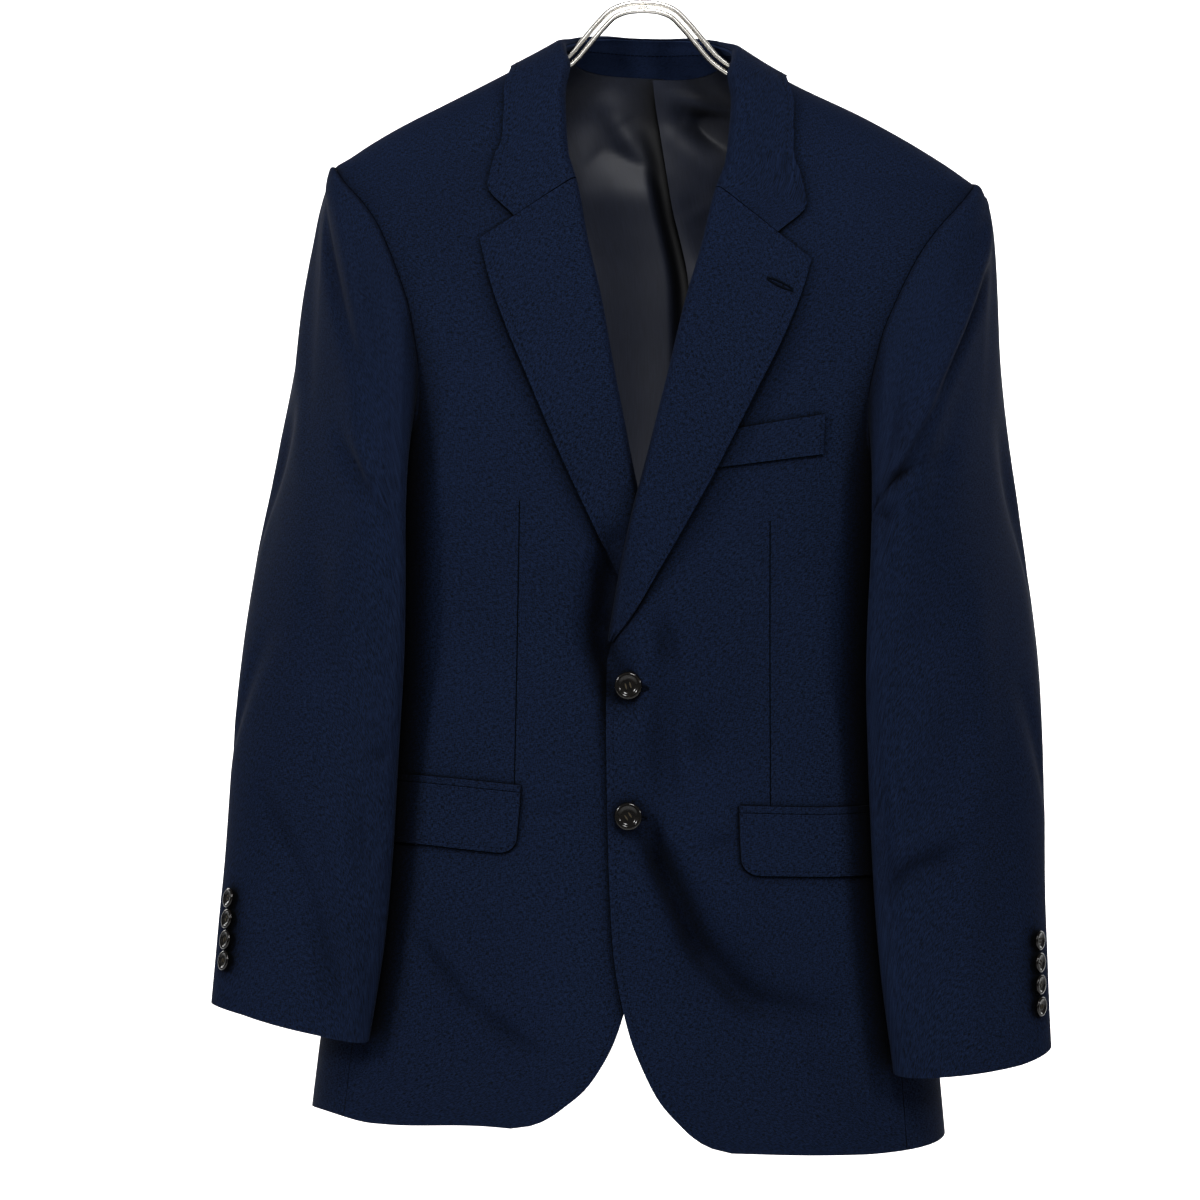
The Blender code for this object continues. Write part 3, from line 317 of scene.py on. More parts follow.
FRONT_EDGE = table("height x", [
    (-714, 80), (-711, 66), (-704, 52.5), (-695, 42), (-679, 27), (-660, 16), (-635, 5), (-610, -2),
    (-580, -8), (-540, -12), (-480, -15.5), (-420, -18), (-357, -19.5), (-328, -16.2), (-285, -9.4),
    (-254, -3.6), (-225, 3.2), (-188, 11.5), (-150, 20), (-100, 30.5), (-60, 41), (-15, 51), (5, 59.5),
    (20, 62.5), (35, 65), (65, 72), (84, 76),
])
LAPEL_EDGE = table("height x", [
    (-357, -19.5), (-326, 0.5), (-295, 17), (-262, 34), (-229, 51), (-161, 83), (-122, 101), (-88, 114),
    (-63, 121),
])
Spot = namedtuple("Spot", "x height")
GORGE = Spot(51.0, -15.0)  # the roll line's top, where collar and lapel meet
LAPEL_TIP = Spot(121.0, -63.0)
ROLL_SETBACK = FACING + CLEAR  # the front panel ends this far inside the lapel's roll


def lap(side, x, height):
    """How far the wearer's left front, which is on top, stands off the torso's form near the centre."""
    if side < 0:
        return 0 * np.asarray(x, float)
    low = LAP_LIFT_LOW + (LAP_LIFT - LAP_LIFT_LOW) * ease(-450, -365, height)
    return low * ease(-120, -235, height) * ease(95, 12, x)


def front_point(side, x, height, out):
    """A point over a front panel, named by its distance from the centre line and its height."""
    x, height = np.broadcast_arrays(np.asarray(x, float), np.asarray(height, float))
    turn = turn_at(x, height) * side
    return torso(turn, height, np.asarray(out, float) + lap(side, x, height))


# ---------------------------------------------------------------- materials


def linear(code):
    """A hex sRGB colour as linear red, green, blue and alpha."""
    shares = [int(code[i : i + 2], 16) / 255 for i in (1, 3, 5)]
    return [s / 12.92 if s <= 0.04045 else ((s + 0.055) / 1.055) ** 2.4 for s in shares] + [1.0]


def connect(node, inputs):
    """Gives a node its inputs, by name or number: a socket is linked and a value is set."""
    for name, value in inputs.items():
        if isinstance(value, bpy.types.NodeSocket):
            node.id_data.links.new(value, node.inputs[name])
        else:
            node.inputs[name].default_value = value
    return node


def put(tree, kind, settings=None, inputs=None):
    """Adds a node with its settings, by name, and its inputs."""
    node = tree.nodes.new(kind)
    for name, value in (settings or {}).items():
        setattr(node, name, value)
    return connect(node, inputs or {})


def noise(tree, place, scale, stretch=None, flat=False, **inputs):
    """A noise's value at a place, which is stretched by a factor along each axis."""
    if stretch:
        place = put(tree, "ShaderNodeMapping", {}, {"Vector": place, "Scale": stretch}).outputs["Vector"]
    settings = {"noise_dimensions": "2D"} if flat else {}
    return put(tree, "ShaderNodeTexNoise", settings, {"Vector": place, "Scale": scale, **inputs}).outputs["Fac"]


def reckon(tree, operation, *values, clamp=False):
    """The result of a sum of two or three values."""
    settings = {"operation": operation, "use_clamp": clamp}
    return put(tree, "ShaderNodeMath", settings, dict(enumerate(values))).outputs[0]


def blend(tree, share, low, high, how="MIX"):
    """A colour between two others, or of two others."""
    settings = {"data_type": "RGBA", "blend_type": how}
    return put(tree, "ShaderNodeMix", settings, {"Factor": share, 6: low, 7: high}).outputs[2]


def spread(tree, value, **limits):
    """A value taken from one range to another; the limits are from_min, from_max, to_min and to_max."""
    names = {name.replace("_", " ").title(): limit for name, limit in limits.items()}
    return put(tree, "ShaderNodeMapRange", {}, {"Value": value, **names}).outputs["Result"]


def bumped(tree, height, strength, distance):
    """A normal that follows a height."""
    inputs = {"Height": height, "Strength": strength, "Distance": distance}
    return put(tree, "ShaderNodeBump", {}, inputs).outputs["Normal"]


def with_painted_shade(tree, colour, reach, depth):
    """A colour with painted shade: ambient occlusion darkens it in folds and under edges within reach."""
    openness = put(tree, "ShaderNodeAmbientOcclusion", {"samples": 6}, {"Distance": reach}).outputs["AO"]
    return blend(tree, 1.0, colour, reckon(tree, "POWER", openness, depth), "MULTIPLY")


def new_material(name):
    """A material, its tree and its Principled shader."""
    made = bpy.data.materials.new(name)
    made.use_nodes = True
    return made, made.node_tree, made.node_tree.nodes["Principled BSDF"]


def own_place(tree):
    """The object's own coordinates."""
    return put(tree, "ShaderNodeTexCoord").outputs["Object"]


def cloth_grain(tree):
    """Where a point lies along the cloth's weft and warp, in metres."""
    return put(tree, "ShaderNodeUVMap", {"uv_map": "grain"}).outputs["UV"]


SLUB = 0.2  # a slub's width as a share of its length
FLECKS = 0.35  # how strongly the flecks show beside the slubs


def worsted(settings, name="navy_worsted", shade_power=3.0, lift=0.0):
    """Worsted suiting: fine combed wool in a pick-and-pick weave, matt, with slightly uneven yarns."""
    made, tree, shader = new_material(name)
    grain, fine = cloth_grain(tree), 1 / settings.yarn_pitch
    # Warp and weft slubs, long along the yarn. Real yarns are 0.5 mm apart, drawn coarser so that they show.
    slubs = [
        noise(tree, grain, 1.0, stretch, True, Detail=2.0, Roughness=0.6)
        for stretch in ((fine, SLUB * fine, 1), (SLUB * fine, fine, 1))
    ]
    flecks = noise(tree, grain, 1.4, (fine, fine, 1), True, Detail=1.0)
    weave = reckon(tree, "MULTIPLY_ADD", flecks, FLECKS, reckon(tree, "ADD", *slubs))
    level = spread(tree, weave, from_min=1.0, from_max=1.36)
    # lift raises the whole tone: painted light, which brightens the collar's stand where it lies in the neck's shade.
    tone = reckon(tree, "MULTIPLY_ADD", noise(tree, own_place(tree), 9.0, Detail=3.0), 0.25, lift - 0.12)
    share = reckon(tree, "ADD", level, tone, clamp=True)
    colour = blend(tree, share, linear(settings.suiting_dark), linear(settings.suiting_light))
    surface = {"Roughness": 0.9, "Specular IOR Level": 0.04, "Normal": bumped(tree, weave, 0.14, 0.0003)}
    nap = {"Sheen Weight": 0.012, "Sheen Roughness": 0.45, "Sheen Tint": linear("#8fa2c8")}
    # Painted shade: the colour is darkened in folds and under edges by ambient occlusion, the more so the higher the
    # power given.
    connect(shader, {"Base Color": with_painted_shade(tree, colour, 0.024, shade_power), **surface, **nap})
    return made


def satin(settings):
    """Viscose satin lining: filament yarn in long floats, so it shines softly along its folds."""
    made, tree, shader = new_material("charcoal_satin")
    grain = cloth_grain(tree)
    soft = noise(tree, grain, 1.0, (22, 5, 1), Detail=2.0)
    fine = noise(tree, grain, 1.0, (900, 60, 1))
    normal = bumped(tree, reckon(tree, "MULTIPLY_ADD", fine, 0.02, soft), 0.1, 0.006)
    colour = blend(tree, fine, linear(settings.lining_dark), linear(settings.lining_light))
    surface = {"Roughness": 0.5, "Specular IOR Level": 0.16, "Normal": normal}
    # Painted shade: the colour is darkened in the pleat, the folds and under the collar by ambient occlusion.
    connect(shader, {"Base Color": with_painted_shade(tree, colour, 0.05, 5.0), **surface})
    return made


def horn(settings):
    """Polished dark horn: layered, so its brown and black streaks run across the button."""
    made, tree, shader = new_material("dark_horn")
    streaks = noise(tree, own_place(tree), 1.0, (90, 90, 330), Detail=3.0, Distortion=1.2)
    ramp = put(tree, "ShaderNodeValToRGB", {}, {"Fac": streaks})
    ends = ((0.38, settings.horn_dark), (0.68, settings.horn_light))
    for stop, (position, code) in zip(ramp.color_ramp.elements, ends):
        stop.position, stop.color = position, linear(code)
    connect(shader, {"Base Color": ramp.outputs["Color"], "Roughness": 0.12, "Specular IOR Level": 0.3})
    return made


def thread(name, code):
    """Spun polyester sewing thread: matt, its colour slightly uneven along the twist."""
    made, tree, shader = new_material(name)
    bright = [min(1.0, 1.7 * c) for c in linear(code)[:3]] + [1.0]
    colour = blend(tree, noise(tree, own_place(tree), 1600.0), linear(code), bright)
    connect(shader, {"Base Color": colour, "Roughness": 0.9, "Specular IOR Level": 0.02})
    return made


def chromed_wire(settings):
    """Chromed steel wire: drawn bright, a little dull in spots and slightly warm in its reflections."""
    made, tree, shader = new_material("chromed_wire")
    spots = noise(tree, own_place(tree), 120.0, Detail=2.0)
    colour = blend(tree, spots, linear(settings.chrome_dark), linear(settings.chrome_light))
    rough = spread(tree, spots, to_min=0.22, to_max=0.28)
    connect(shader, {"Base Color": colour, "Roughness": rough, "Metallic": 1.0})
    return made


def paper(settings):
    """Seamless backdrop paper: pale and matt, with a faint tooth."""
    made, tree, shader = new_material("backdrop_paper")
    colour = blend(tree, noise(tree, own_place(tree), 40.0), linear("#f4f4f4"), linear(settings.paper))
    connect(shader, {"Base Color": colour, "Roughness": 0.95})
    return made


MADE = {}


def finish(name):
    """A finish of this object, made once."""
    if name not in MADE:
        settings = bpy.context.scene.jacket
        makers = {
            "worsted": lambda: worsted(settings),
            # The stand's copy of the worsted: lifted and without the painted shade, as painted light for a piece that
            # lies in the neck's shade.
            "stand_worsted_painted_light": lambda: worsted(settings, "navy_worsted_painted_light", 0.0, 0.4),
            "satin": lambda: satin(settings),
            "horn": lambda: horn(settings),
            "edge_thread": lambda: thread("edge_thread", settings.thread_edge),
            "seam_thread_and_shade": lambda: thread("seam_thread_and_shade", settings.thread_seam_and_shade),
            "hole_thread": lambda: thread("buttonhole_thread", settings.thread_hole),
            "button_thread": lambda: thread("button_thread", settings.thread_button),
            "chrome": lambda: chromed_wire(settings),
            "paper": lambda: paper(settings),
        }
        MADE[name] = makers[name]()
    return MADE[name]


# ---------------------------------------------------------------- cloth meshes


def hang(points):
    """Points of the jacket's frame, in millimetres, as metres in the world."""
    x, y, z = (points[..., k] for k in range(3))
    c, s = math.cos(TILT), math.sin(TILT)
    return np.stack([x * c + z * s + SIDE_SLIP, y, -x * s + z * c - DROP], axis=-1) * MM


def ring(rows, columns):
    """The indices of a grid's border, in order."""
    n = np.arange(rows * columns).reshape(rows, columns)
    return np.concatenate([n[0], n[1:, -1], n[-1, -2::-1], n[-2:0:-1, 0]])


def grid_faces(rows, columns, start=0):
    """The four-sided faces of a grid of points."""
    n = start + np.arange(rows * columns).reshape(rows, columns)
    return np.stack([n[:-1, :-1], n[:-1, 1:], n[1:, 1:], n[1:, :-1]], axis=-1).reshape(-1, 4)


def travelled(points, axis):
    """Metres run along a grid's axis from its start."""
    step = np.linalg.norm(np.diff(points, axis=axis), axis=-1)
    pad = [(0, 0), (0, 0)]
    pad[axis] = (1, 0)
    return np.pad(np.cumsum(step, axis=axis), pad)


def flat_area(points):
    """The area of a grid's skin, in square metres."""
    a, b = points[1:, 1:] - points[:-1, :-1], points[1:, :-1] - points[:-1, 1:]
    return float(np.linalg.norm(np.cross(a, b), axis=-1).sum() / 2)


def new_object(name, mesh):
    """A mesh as an object at the origin."""
    thing = bpy.data.objects.new(name, mesh)
    bpy.context.scene.collection.objects.link(thing)
    return thing


def give(thing, nodes, slot):
    """Lets a piece ride on the body and stand for its nodes, which are hidden; slot is not used."""
    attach(thing, BODY)
    if nodes:
        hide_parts(*nodes)
    return thing


def cloth(name, nodes, walls, look="worsted", slot="navy_worsted", share=None, held="hung", rests_on="hanger_rods"):
    """A cut piece of cloth from grids of outer and inner points, each pair one closed wall, with its grain as UVs."""
    points, faces, grain, area, sizes, start = [], [], [], 0.0, [], 0
    for outer, inner in walls:
        skins = [hang(settle(p, share)) for p in (outer, inner)]
        rows, columns = skins[0].shape[:2]
        count = rows * columns
        low, rim = grid_faces(rows, columns), ring(rows, columns)
        after = np.roll(rim, -1)
        edge = np.stack([after, rim, rim + count, after + count], axis=-1)
        both = np.vstack([low, low[:, ::-1] + count, edge])
        block = np.concatenate([s.reshape(-1, 3) for s in skins])
        corner = block[both]
        inside = np.einsum("ij,ij->i", corner[:, 0], np.cross(corner[:, 1], corner[:, 2]))
        inside = inside + np.einsum("ij,ij->i", corner[:, 0], np.cross(corner[:, 2], corner[:, 3]))
        if inside.sum() < 0:
            both = both[:, ::-1]
        across, up = travelled(skins[0], 1), travelled(skins[0], 0)
        grain.append(np.tile(np.stack([across, up], axis=-1).reshape(-1, 2), (2, 1)))
        area += flat_area(skins[0])
        sizes.append((across.max(), up.max()))
        points.append(block)
        faces.append(both + start)
        start += 2 * count
    mesh = bpy.data.meshes.new(name)
    mesh.from_pydata(np.vstack(points).tolist(), [], np.vstack(faces).tolist())
    corners = np.zeros(len(mesh.loops), np.int32)
    mesh.loops.foreach_get("vertex_index", corners)
    mesh.uv_layers.new(name="grain").data.foreach_set("uv", np.vstack(grain)[corners].astype(np.float32).ravel())
    mesh.shade_smooth()
    mesh.set_sharp_from_angle(angle=math.radians(45))
    mesh.materials.append(finish(look))
    thing = give(new_object(name, mesh), nodes, slot)
    return thing


def cut(node, skins, **how):
    """A piece of cloth that is one wall and stands for one node."""
    cloth(f"{node}_cloth", [node], [skins], **how)


def outward(skin):
    """A grid's own normals."""
    return unit(np.cross(np.gradient(skin, axis=1), np.gradient(skin, axis=0)))


def wall(place, a, b, out, thickness):
    """The outer and inner skins of a wall whose outer skin is place(a, b, out)."""
    return place(a, b, out), place(a, b, out - thickness)


def shares(count):
    """Even shares from 0 to 1, for the columns of a grid."""
    return np.linspace(0.0, 1.0, count + 1)[None, :]


def finer(values, step):
    """The values with even steps of at most that size between them."""
    out = [float(values[0])]
    for a, b in zip(values, values[1:]):
        count = max(1, math.ceil(abs(b - a) / step))
        out += [a + (b - a) * k / count for k in range(1, count + 1)]
    return out


# Lines over the cloth for the stitches, kept by name as each piece is made: points in the jacket's frame.
LINES = {}


def keep_line(name, points, share=None):
    """Keeps a line of points for the stitches."""
    LINES[name] = hang(settle(points, share))


# ---------------------------------------------------------------- the body panels

BODY_STEP = 4.0  # between the rows and columns of a body panel
LOW_ROWS = [-714, -711, -704, -695, -679, -660, -635, -605, -565, -520, -480, -440, -400, -357, -325, -290, -255]
SHOULDER_ROWS = [20, 38, 55, 70, FRONT_TOP]
BACK_TOP_ROWS = [20, 38, 55, 68]
SHOULDER_SEAM = table("height turn", [(3, 90), (20, 89), (84, 83)])  # it runs a little before the crest


def seam_allow(height):
    """Half a seam, as degrees round the torso at a height."""
    return np.degrees(SEAM / 2 / read(TORSO, "front_depth", height))


def panel_rows(top_rows):
    """Every row's height on a front or back panel, from the hem up."""
    bottom = float(armhole_height(SEAM_STATION))
    arm = [float(armhole_height(s)) for s in np.arange(SEAM_STATION, -1, -3)]
    low = finer([*LOW_ROWS, bottom], BODY_STEP)
    return column([*low[:-1], *arm, *finer([arm[-1], *top_rows], BODY_STEP)[1:]])


def outer_limit(face, heights):
    """The turn of a panel's outer side at each height: side seam, armhole, shoulder."""
    seam = SIDE_SEAM if face == "front" else BACK_SEAM
    station = np.degrees(np.arccos(np.clip((heights - ARMHOLE_MIDDLE) / ARMHOLE_REACH, -1, 1)))
    at_hole = read(ARMHOLE, face, np.minimum(station, SEAM_STATION))
    low = seam + (read(ARMHOLE, face, SEAM_STATION) - seam) * ease(-400, -230, heights)
    bottom = float(armhole_height(SEAM_STATION))
    top = read(SHOULDER_SEAM, "turn", heights)
    return np.where(heights < bottom - 1e-6, low, np.where(heights <= SHOULDER_TIP + 1e-6, at_hole, top))


FRONT_COLUMNS = 76
BACK_COLUMNS = 60
EDGE_STITCH_IN = 5.0  # from an edge to its row of stitches
EDGE_STITCH_LOW = -700.0  # the front edge's stitches end here
CLOSE_ON_TOP = 0.12  # how far fine stitches lie off the cloth, and a dart's seam in it
DART = {-1: (-97.0, -95.0), 1: (85.0, 91.0)}  # x at the dart's top and bottom
DART_TOP, DART_BOTTOM = {-1: -254.0, 1: -257.0}, -463.0
DART_POINTS = 60


def front(side):
    """A front panel, from the edge and roll line to the side seam, armhole and shoulder."""
    heights = panel_rows(SHOULDER_ROWS)
    setback = ROLL_SETBACK * ease(BREAK - 10, BREAK + 4, heights) * ease(50, 20, heights)
    edge = turn_at(read(FRONT_EDGE, "x", heights) + setback, heights)
    limit = outer_limit("front", heights) - seam_allow(heights)
    turns = edge + (limit - edge) * shares(FRONT_COLUMNS)
    x = read(TORSO, "half_width", heights) * np.sin(np.radians(turns))
    lift = lap(side, x, heights)
    levels = heights + RIGHT_HEM_RISE * (side < 0) * ease(-640, HEM, heights) * ease(190, 90, x)
    cut(f"front_{WORD[side]}", wall(torso, turns * side, levels, lift, CLOTH), rests_on=f"side_{WORD[side]}")
    rows = heights[:, 0]
    below = (rows < BREAK - 4) & (rows > EDGE_STITCH_LOW)
    x = read(FRONT_EDGE, "x", rows[below]) + EDGE_STITCH_IN
    turn, lift = turn_at(x, rows[below]), lap(side, x, rows[below]) + CLOSE_ON_TOP
    keep_line(f"front_edge_{WORD[side]}", torso(turn * side, levels[below, 1], lift))
    level = np.linspace(DART_TOP[side], DART_BOTTOM, DART_POINTS)
    top_x, low_x = DART[side]
    dart_x = abs(top_x + (low_x - top_x) * (level - level[0]) / (level[-1] - level[0]) - FRONT_SHIFT)
    keep_line(f"dart_{WORD[side]}", front_point(side, dart_x, level, -CLOSE_ON_TOP))


NECK_ROWS = 5  # of a back panel's grid, above its last row
VENT_TOP = -478.0
VENT_SPREAD = {-1: 50.0, 1: 42.0}  # how far each side of the vent has swung open at the hem
NECKLINE = table("turn height", [(80, 94.5), (100, 94.5), (120, 92), (140, 88), (160, 85), (180, 84)])


def vent(side, height):
    """How far a back panel's edge hangs from the centre line."""
    return VENT_SPREAD[side] * ease(VENT_TOP, HEM, height) ** 0.8


def to_neckline(turns, heights, rise):
    """A back panel's turns and heights with the rows above its last one, up to the back's neckline."""
    neckline = read(NECKLINE, "height", turns[-1]) + rise
    extra = [heights[-1] + (neckline - heights[-1]) * (k + 1) / NECK_ROWS for k in range(NECK_ROWS)]
    return np.vstack([turns] + [turns[-1]] * NECK_ROWS), np.vstack([heights + 0 * turns] + extra)


def back(side):
    """A back panel: centre back seam and vent, side seam, armhole, shoulder seam and back neckline."""
    heights = panel_rows(BACK_TOP_ROWS)
    limit = outer_limit("back", heights) + seam_allow(heights)
    middle = 180.0 - np.degrees((SEAM / 2 + vent(side, heights)) / read(TORSO, "half_width", heights))
    turns = middle + (limit - middle) * shares(BACK_COLUMNS)
    turns, levels = to_neckline(turns, heights, 0.0)
    cut(f"back_{WORD[side]}", wall(torso, turns * side, levels, 0.0, CLOTH))


LINING_TURN = 108.0  # the back lining's shoulder edge keeps clear of the hanger
LINING_DEPTH = CLOTH + FACING + 3.8 * CLEAR  # it lies inside the collar's stand
LINING_RISE = 4.5
HEM_TURN_UP = 25.0
LINING_COLUMNS = 110
LINING_PART = 0.2  # how far apart the two halves are where they meet edge to edge
LINING_SINK = 1.0  # how far a fold may sink towards the back
PLEAT_LIFT = 12.0  # how far the upper layer's edge stands off at the pleat
PLEAT_RIDGE = 10.5  # how far the under layer swells out beside it
# The edge of the lining's pleat, from the vent up to the neck, and how far the under layer runs on beneath it.
PLEAT = table(
    "height x under",
    [(-714, 0, 0), (-478, 0, 0), (-420, 4, 8), (-200, 42, 16), (-80, 38, 16), (0, 20, 16), (84, 5, 12)],
)
# The lining's own folds, seen from inside: depth is towards the front (+), x is to the wearer's left.
LINING_FOLDS = listed("x1 z1 x2 z2 width depth", [
    (-40, 84, -16, 44, 12, 3.0),
    (-20, 50, 8, 10, 12, 5.5),
    (-46, 60, -34, -120, 13, 2.6),
    (22, 80, 62, 66, 8, 4.0),
    (34, 58, 70, 44, 11, -8.0),
    (26, 40, 66, 6, 13, 3.0),
    (42, -16, 72, -60, 16, -7.0),
    (56, -70, 62, -190, 14, 3.6),
])


def lining_fold(x, height):
    """How far the lining's folds stand towards the front."""
    total = np.zeros_like(x)
    for fold in LINING_FOLDS:
        total += swelling(fold, *along(x, height, *fold[:4]))
    return total * ease(88, 66, height)


def lining_half(side):
    """The outer and inner skins of half of the back's lining, which laps at the pleat above the vent."""
    heights = panel_rows(BACK_TOP_ROWS)
    limit = np.maximum(outer_limit("back", heights), LINING_TURN)
    edge = read(PLEAT, "x", heights) + (read(PLEAT, "under", heights) if side < 0 else 0)
    edge = side * edge + vent(side, heights) + (LINING_PART if side > 0 else 0)
    middle = 180 - np.degrees(np.arcsin(edge / read(TORSO, "half_width", heights)))
    turns, levels = to_neckline(middle + (limit - middle) * shares(LINING_COLUMNS), heights, LINING_RISE)
    x = side * read(TORSO, "half_width", levels) * np.sin(np.radians(turns))
    off = (x - read(PLEAT, "x", levels)) * side
    folds = lining_fold(x, levels)
    if side > 0:  # the upper layer: its edge stands off the other
        folds = folds + PLEAT_LIFT * ease(60, 0, off) * ease(-470, -400, levels)
    folds = np.maximum(folds, -LINING_SINK)
    if side < 0:  # the under layer: it swells out beside the pleat
        ridge = PLEAT_RIDGE * ease(5, 17, off) * ease(95, 22, off) * ease(45, -10, levels) * ease(-420, -330, levels)
        folds = np.maximum(folds * ease(0, 16, off), ridge)
    levels = np.maximum(levels, HEM + HEM_TURN_UP + 3.0 * (levels - HEM) / HEM_TURN_UP)
    return wall(torso, turns * side, levels, -(LINING_DEPTH + folds), LINING)


def back_lining():
    """The back's lining, whose halves lap over each other at the pleat."""
    nodes = ["back_lining_right", "back_lining_left"]
    walls = [lining_half(side) for side in (-1, 1)]
    cloth("back_lining_satin", nodes, walls, "satin", "charcoal_satin", rests_on="back_left")


def side_panel(side):
    """The side body under the arm, between the two side seams."""
    rows = column(finer([*LOW_ROWS, float(armhole_height(SEAM_STATION))], BODY_STEP))
    front_turns = outer_limit("front", rows) + seam_allow(rows)
    back_turns = outer_limit("back", rows) - seam_allow(rows)
    top_turns, top_heights = armhole(np.arange(SEAM_STATION, 361 - SEAM_STATION, 2.0))
    spacing = (top_turns - top_turns[0]) / (top_turns[-1] - top_turns[0])
    turns = front_turns + (back_turns - front_turns) * spacing[None, :]
    heights = HEM + (rows - HEM) / (rows[-1] - HEM) * (top_heights - HEM)[None, :]
    cut(f"side_{WORD[side]}", wall(torso, turns * side, heights, 0.0, CLOTH), rests_on=f"back_{WORD[side]}")


# ---------------------------------------------------------------- lapels and collar

ROLL_STEPS = list(np.linspace(0.0, 90.0, 9))  # degrees round the turned edge
ROLL_REACH = 5.0  # how far in from the turned edge the cloth is at its highest


def turned_back(place, line, edge, lip, top, rest, columns):
    """A flap of cloth that turns over along a line and lies down to its edge.

    place(a, b, out) is a point over the form; line and edge are the flap's two long sides as (a, b) columns.
    lip, top and rest are its outer skin's heights over the form: at the turn, past it and at the edge.
    """
    start, end = place(*line, 0 * line[0]), place(*edge, 0 * edge[0])
    width = np.linalg.norm(end - start, axis=-1)
    angle = np.radians(ROLL_STEPS)[None, :]
    reach = np.minimum(ROLL_REACH, 0.45 * width)
    near = reach / width * (1 - np.cos(angle))
    rise = lip + (top - lip) * np.sin(angle)
    far = (reach / width) + (1 - reach / width) * shares(columns)[:, 1:]
    fall = rest + (top - rest) * (1 - ease(0, 0.8, shares(columns)[:, 1:]))
    share, out = np.hstack([near, far]), np.hstack([rise, fall])
    a, b = (low + (high - low) * share for low, high in zip(line, edge))
    return place(a, b, out)


LAPEL_START = 0.018  # share of the roll line below which the lapel has no width
WELT_LIFT = 2.4  # the left lapel passes over the breast welt
GORGE_GAP = 0.7
LAPEL_ROLL = {-1: (1.2, 4.0), 1: (2.6, 4.5)}  # its roll's height at the break and half-way up
LAPEL_STAND_OFF = 3.4  # how much further the lapel's edge stands off the front half-way up
LAPEL_ROWS = 110
STITCH_COLUMN = -4  # the column of a lapel's or the collar's grid that its stitches follow
ON_TOP = 0.15  # how far a stitch's middle lies off the cloth
LAPEL_COLUMNS = 34


def lapel_skin(side):
    """A lapel's outer skin."""
    share = column(LAPEL_START + (1 - LAPEL_START) * np.linspace(0, 1, LAPEL_ROWS + 1) ** 0.9)
    roll_height = BREAK + (GORGE.height - GORGE_GAP - BREAK) * share
    edge_height = BREAK + (LAPEL_TIP.height - GORGE_GAP - BREAK) * share
    line = (read(FRONT_EDGE, "x", roll_height), roll_height)
    edge = (read(LAPEL_EDGE, "x", edge_height), edge_height)
    rest = CLEAR + FACING + WELT_LIFT * (side > 0) * ease(-300, -240, edge_height) * ease(-100, -160, edge_height)
    rest = rest + LAPEL_STAND_OFF * ease(0.02, 0.25, share) * ease(1.0, 0.8, share)
    low, high = LAPEL_ROLL[side]
    top = CLEAR + FACING + low + (high - low) * ease(0.0, 0.45, share) - 1.5 * ease(0.7, 1.0, share)
    lip = CLEAR + 0.2 - (CLOTH + CLEAR + 0.2) * ease(0.03, 0.12, share)
    return turned_back(partial(front_point, side), line, edge, lip, np.maximum(top, rest), rest, LAPEL_COLUMNS)


def inset(skin, column_index, lift=ON_TOP):
    """A line of a skin's points, a little off its outer side."""
    return (skin + outward(skin) * lift)[:, column_index]


def lapel(side):
    """A lapel: turned back along the roll line, from the break up to the gorge."""
    outer, mirror = lapel_skin(side), np.array([side, 1, 1])
    flipped = outer * mirror
    inner = (flipped - outward(flipped) * FACING) * mirror
    cut(f"lapel_{WORD[side]}", (outer, inner), held="folded", rests_on=f"front_{WORD[side]}")
    keep_line(f"lapel_edge_{WORD[side]}", inset(flipped, STITCH_COLUMN)[14:-6] * mirror)


# The collar from the gorge (0) to the centre back (1): its fold line and its outer edge, over the torso form.
FOLD_LINE = table("along turn height", [
    (0.0, 12.0, -15.0), (0.06, 12.6, -8.0), (0.15, 14.5, 10.0), (0.28, 18.5, 36.0), (0.42, 31.0, 72.0),
    (0.52, 54.0, 91.0), (0.62, 84.0, 102.0), (0.75, 114.0, 111.5), (0.88, 146.0, 115.5),
    (1.0, 180.0, 116.0),
])
COLLAR_EDGE = table("along turn height", [
    (0.0, 22.9, -46.0), (0.06, 28.2, -23.5), (0.10, 27.8, -12.0), (0.16, 27.2, 4.0), (0.28, 32.5, 32.0),
    (0.42, 50.0, 62.0), (0.52, 72.0, 75.0), (0.62, 95.0, 77.5), (0.75, 122.0, 73.0),
    (0.88, 151.0, 68.0), (1.0, 180.0, 66.0),
])
COLLAR_ROLL = table("along top", [(0, 2.6), (0.3, 4.6), (0.5, 0.4), (0.75, 0.6), (1, 3.0)])
COLLAR_REST = table("along out", [(0, 2.7), (0.3, 3.2), (0.55, 3.7), (0.65, 3.5), (0.8, 3.3), (1, 3.0)])


def both_ways(stations):
    """Stations from the wearer's right end of the collar, round the neck, to the left end."""
    right = [(s, -1) for s in stations]
    left = [(s, 1) for s in reversed(stations[:-1])]
    return right + left


def on_collar(rows, station, side):
    """(turn, height) of a line of the collar, with the turn running on past 180 on the left side."""
    turn, height = read(rows, "turn", station), read(rows, "height", station)
    return np.where(np.asarray(side) > 0, 360 - turn, turn), height


COLLAR_STATIONS = finer([0.0, 0.06, 0.16, 0.3, 0.46, 0.62, 0.78, 1.0], 0.012)
COLLAR_COLUMNS = 26


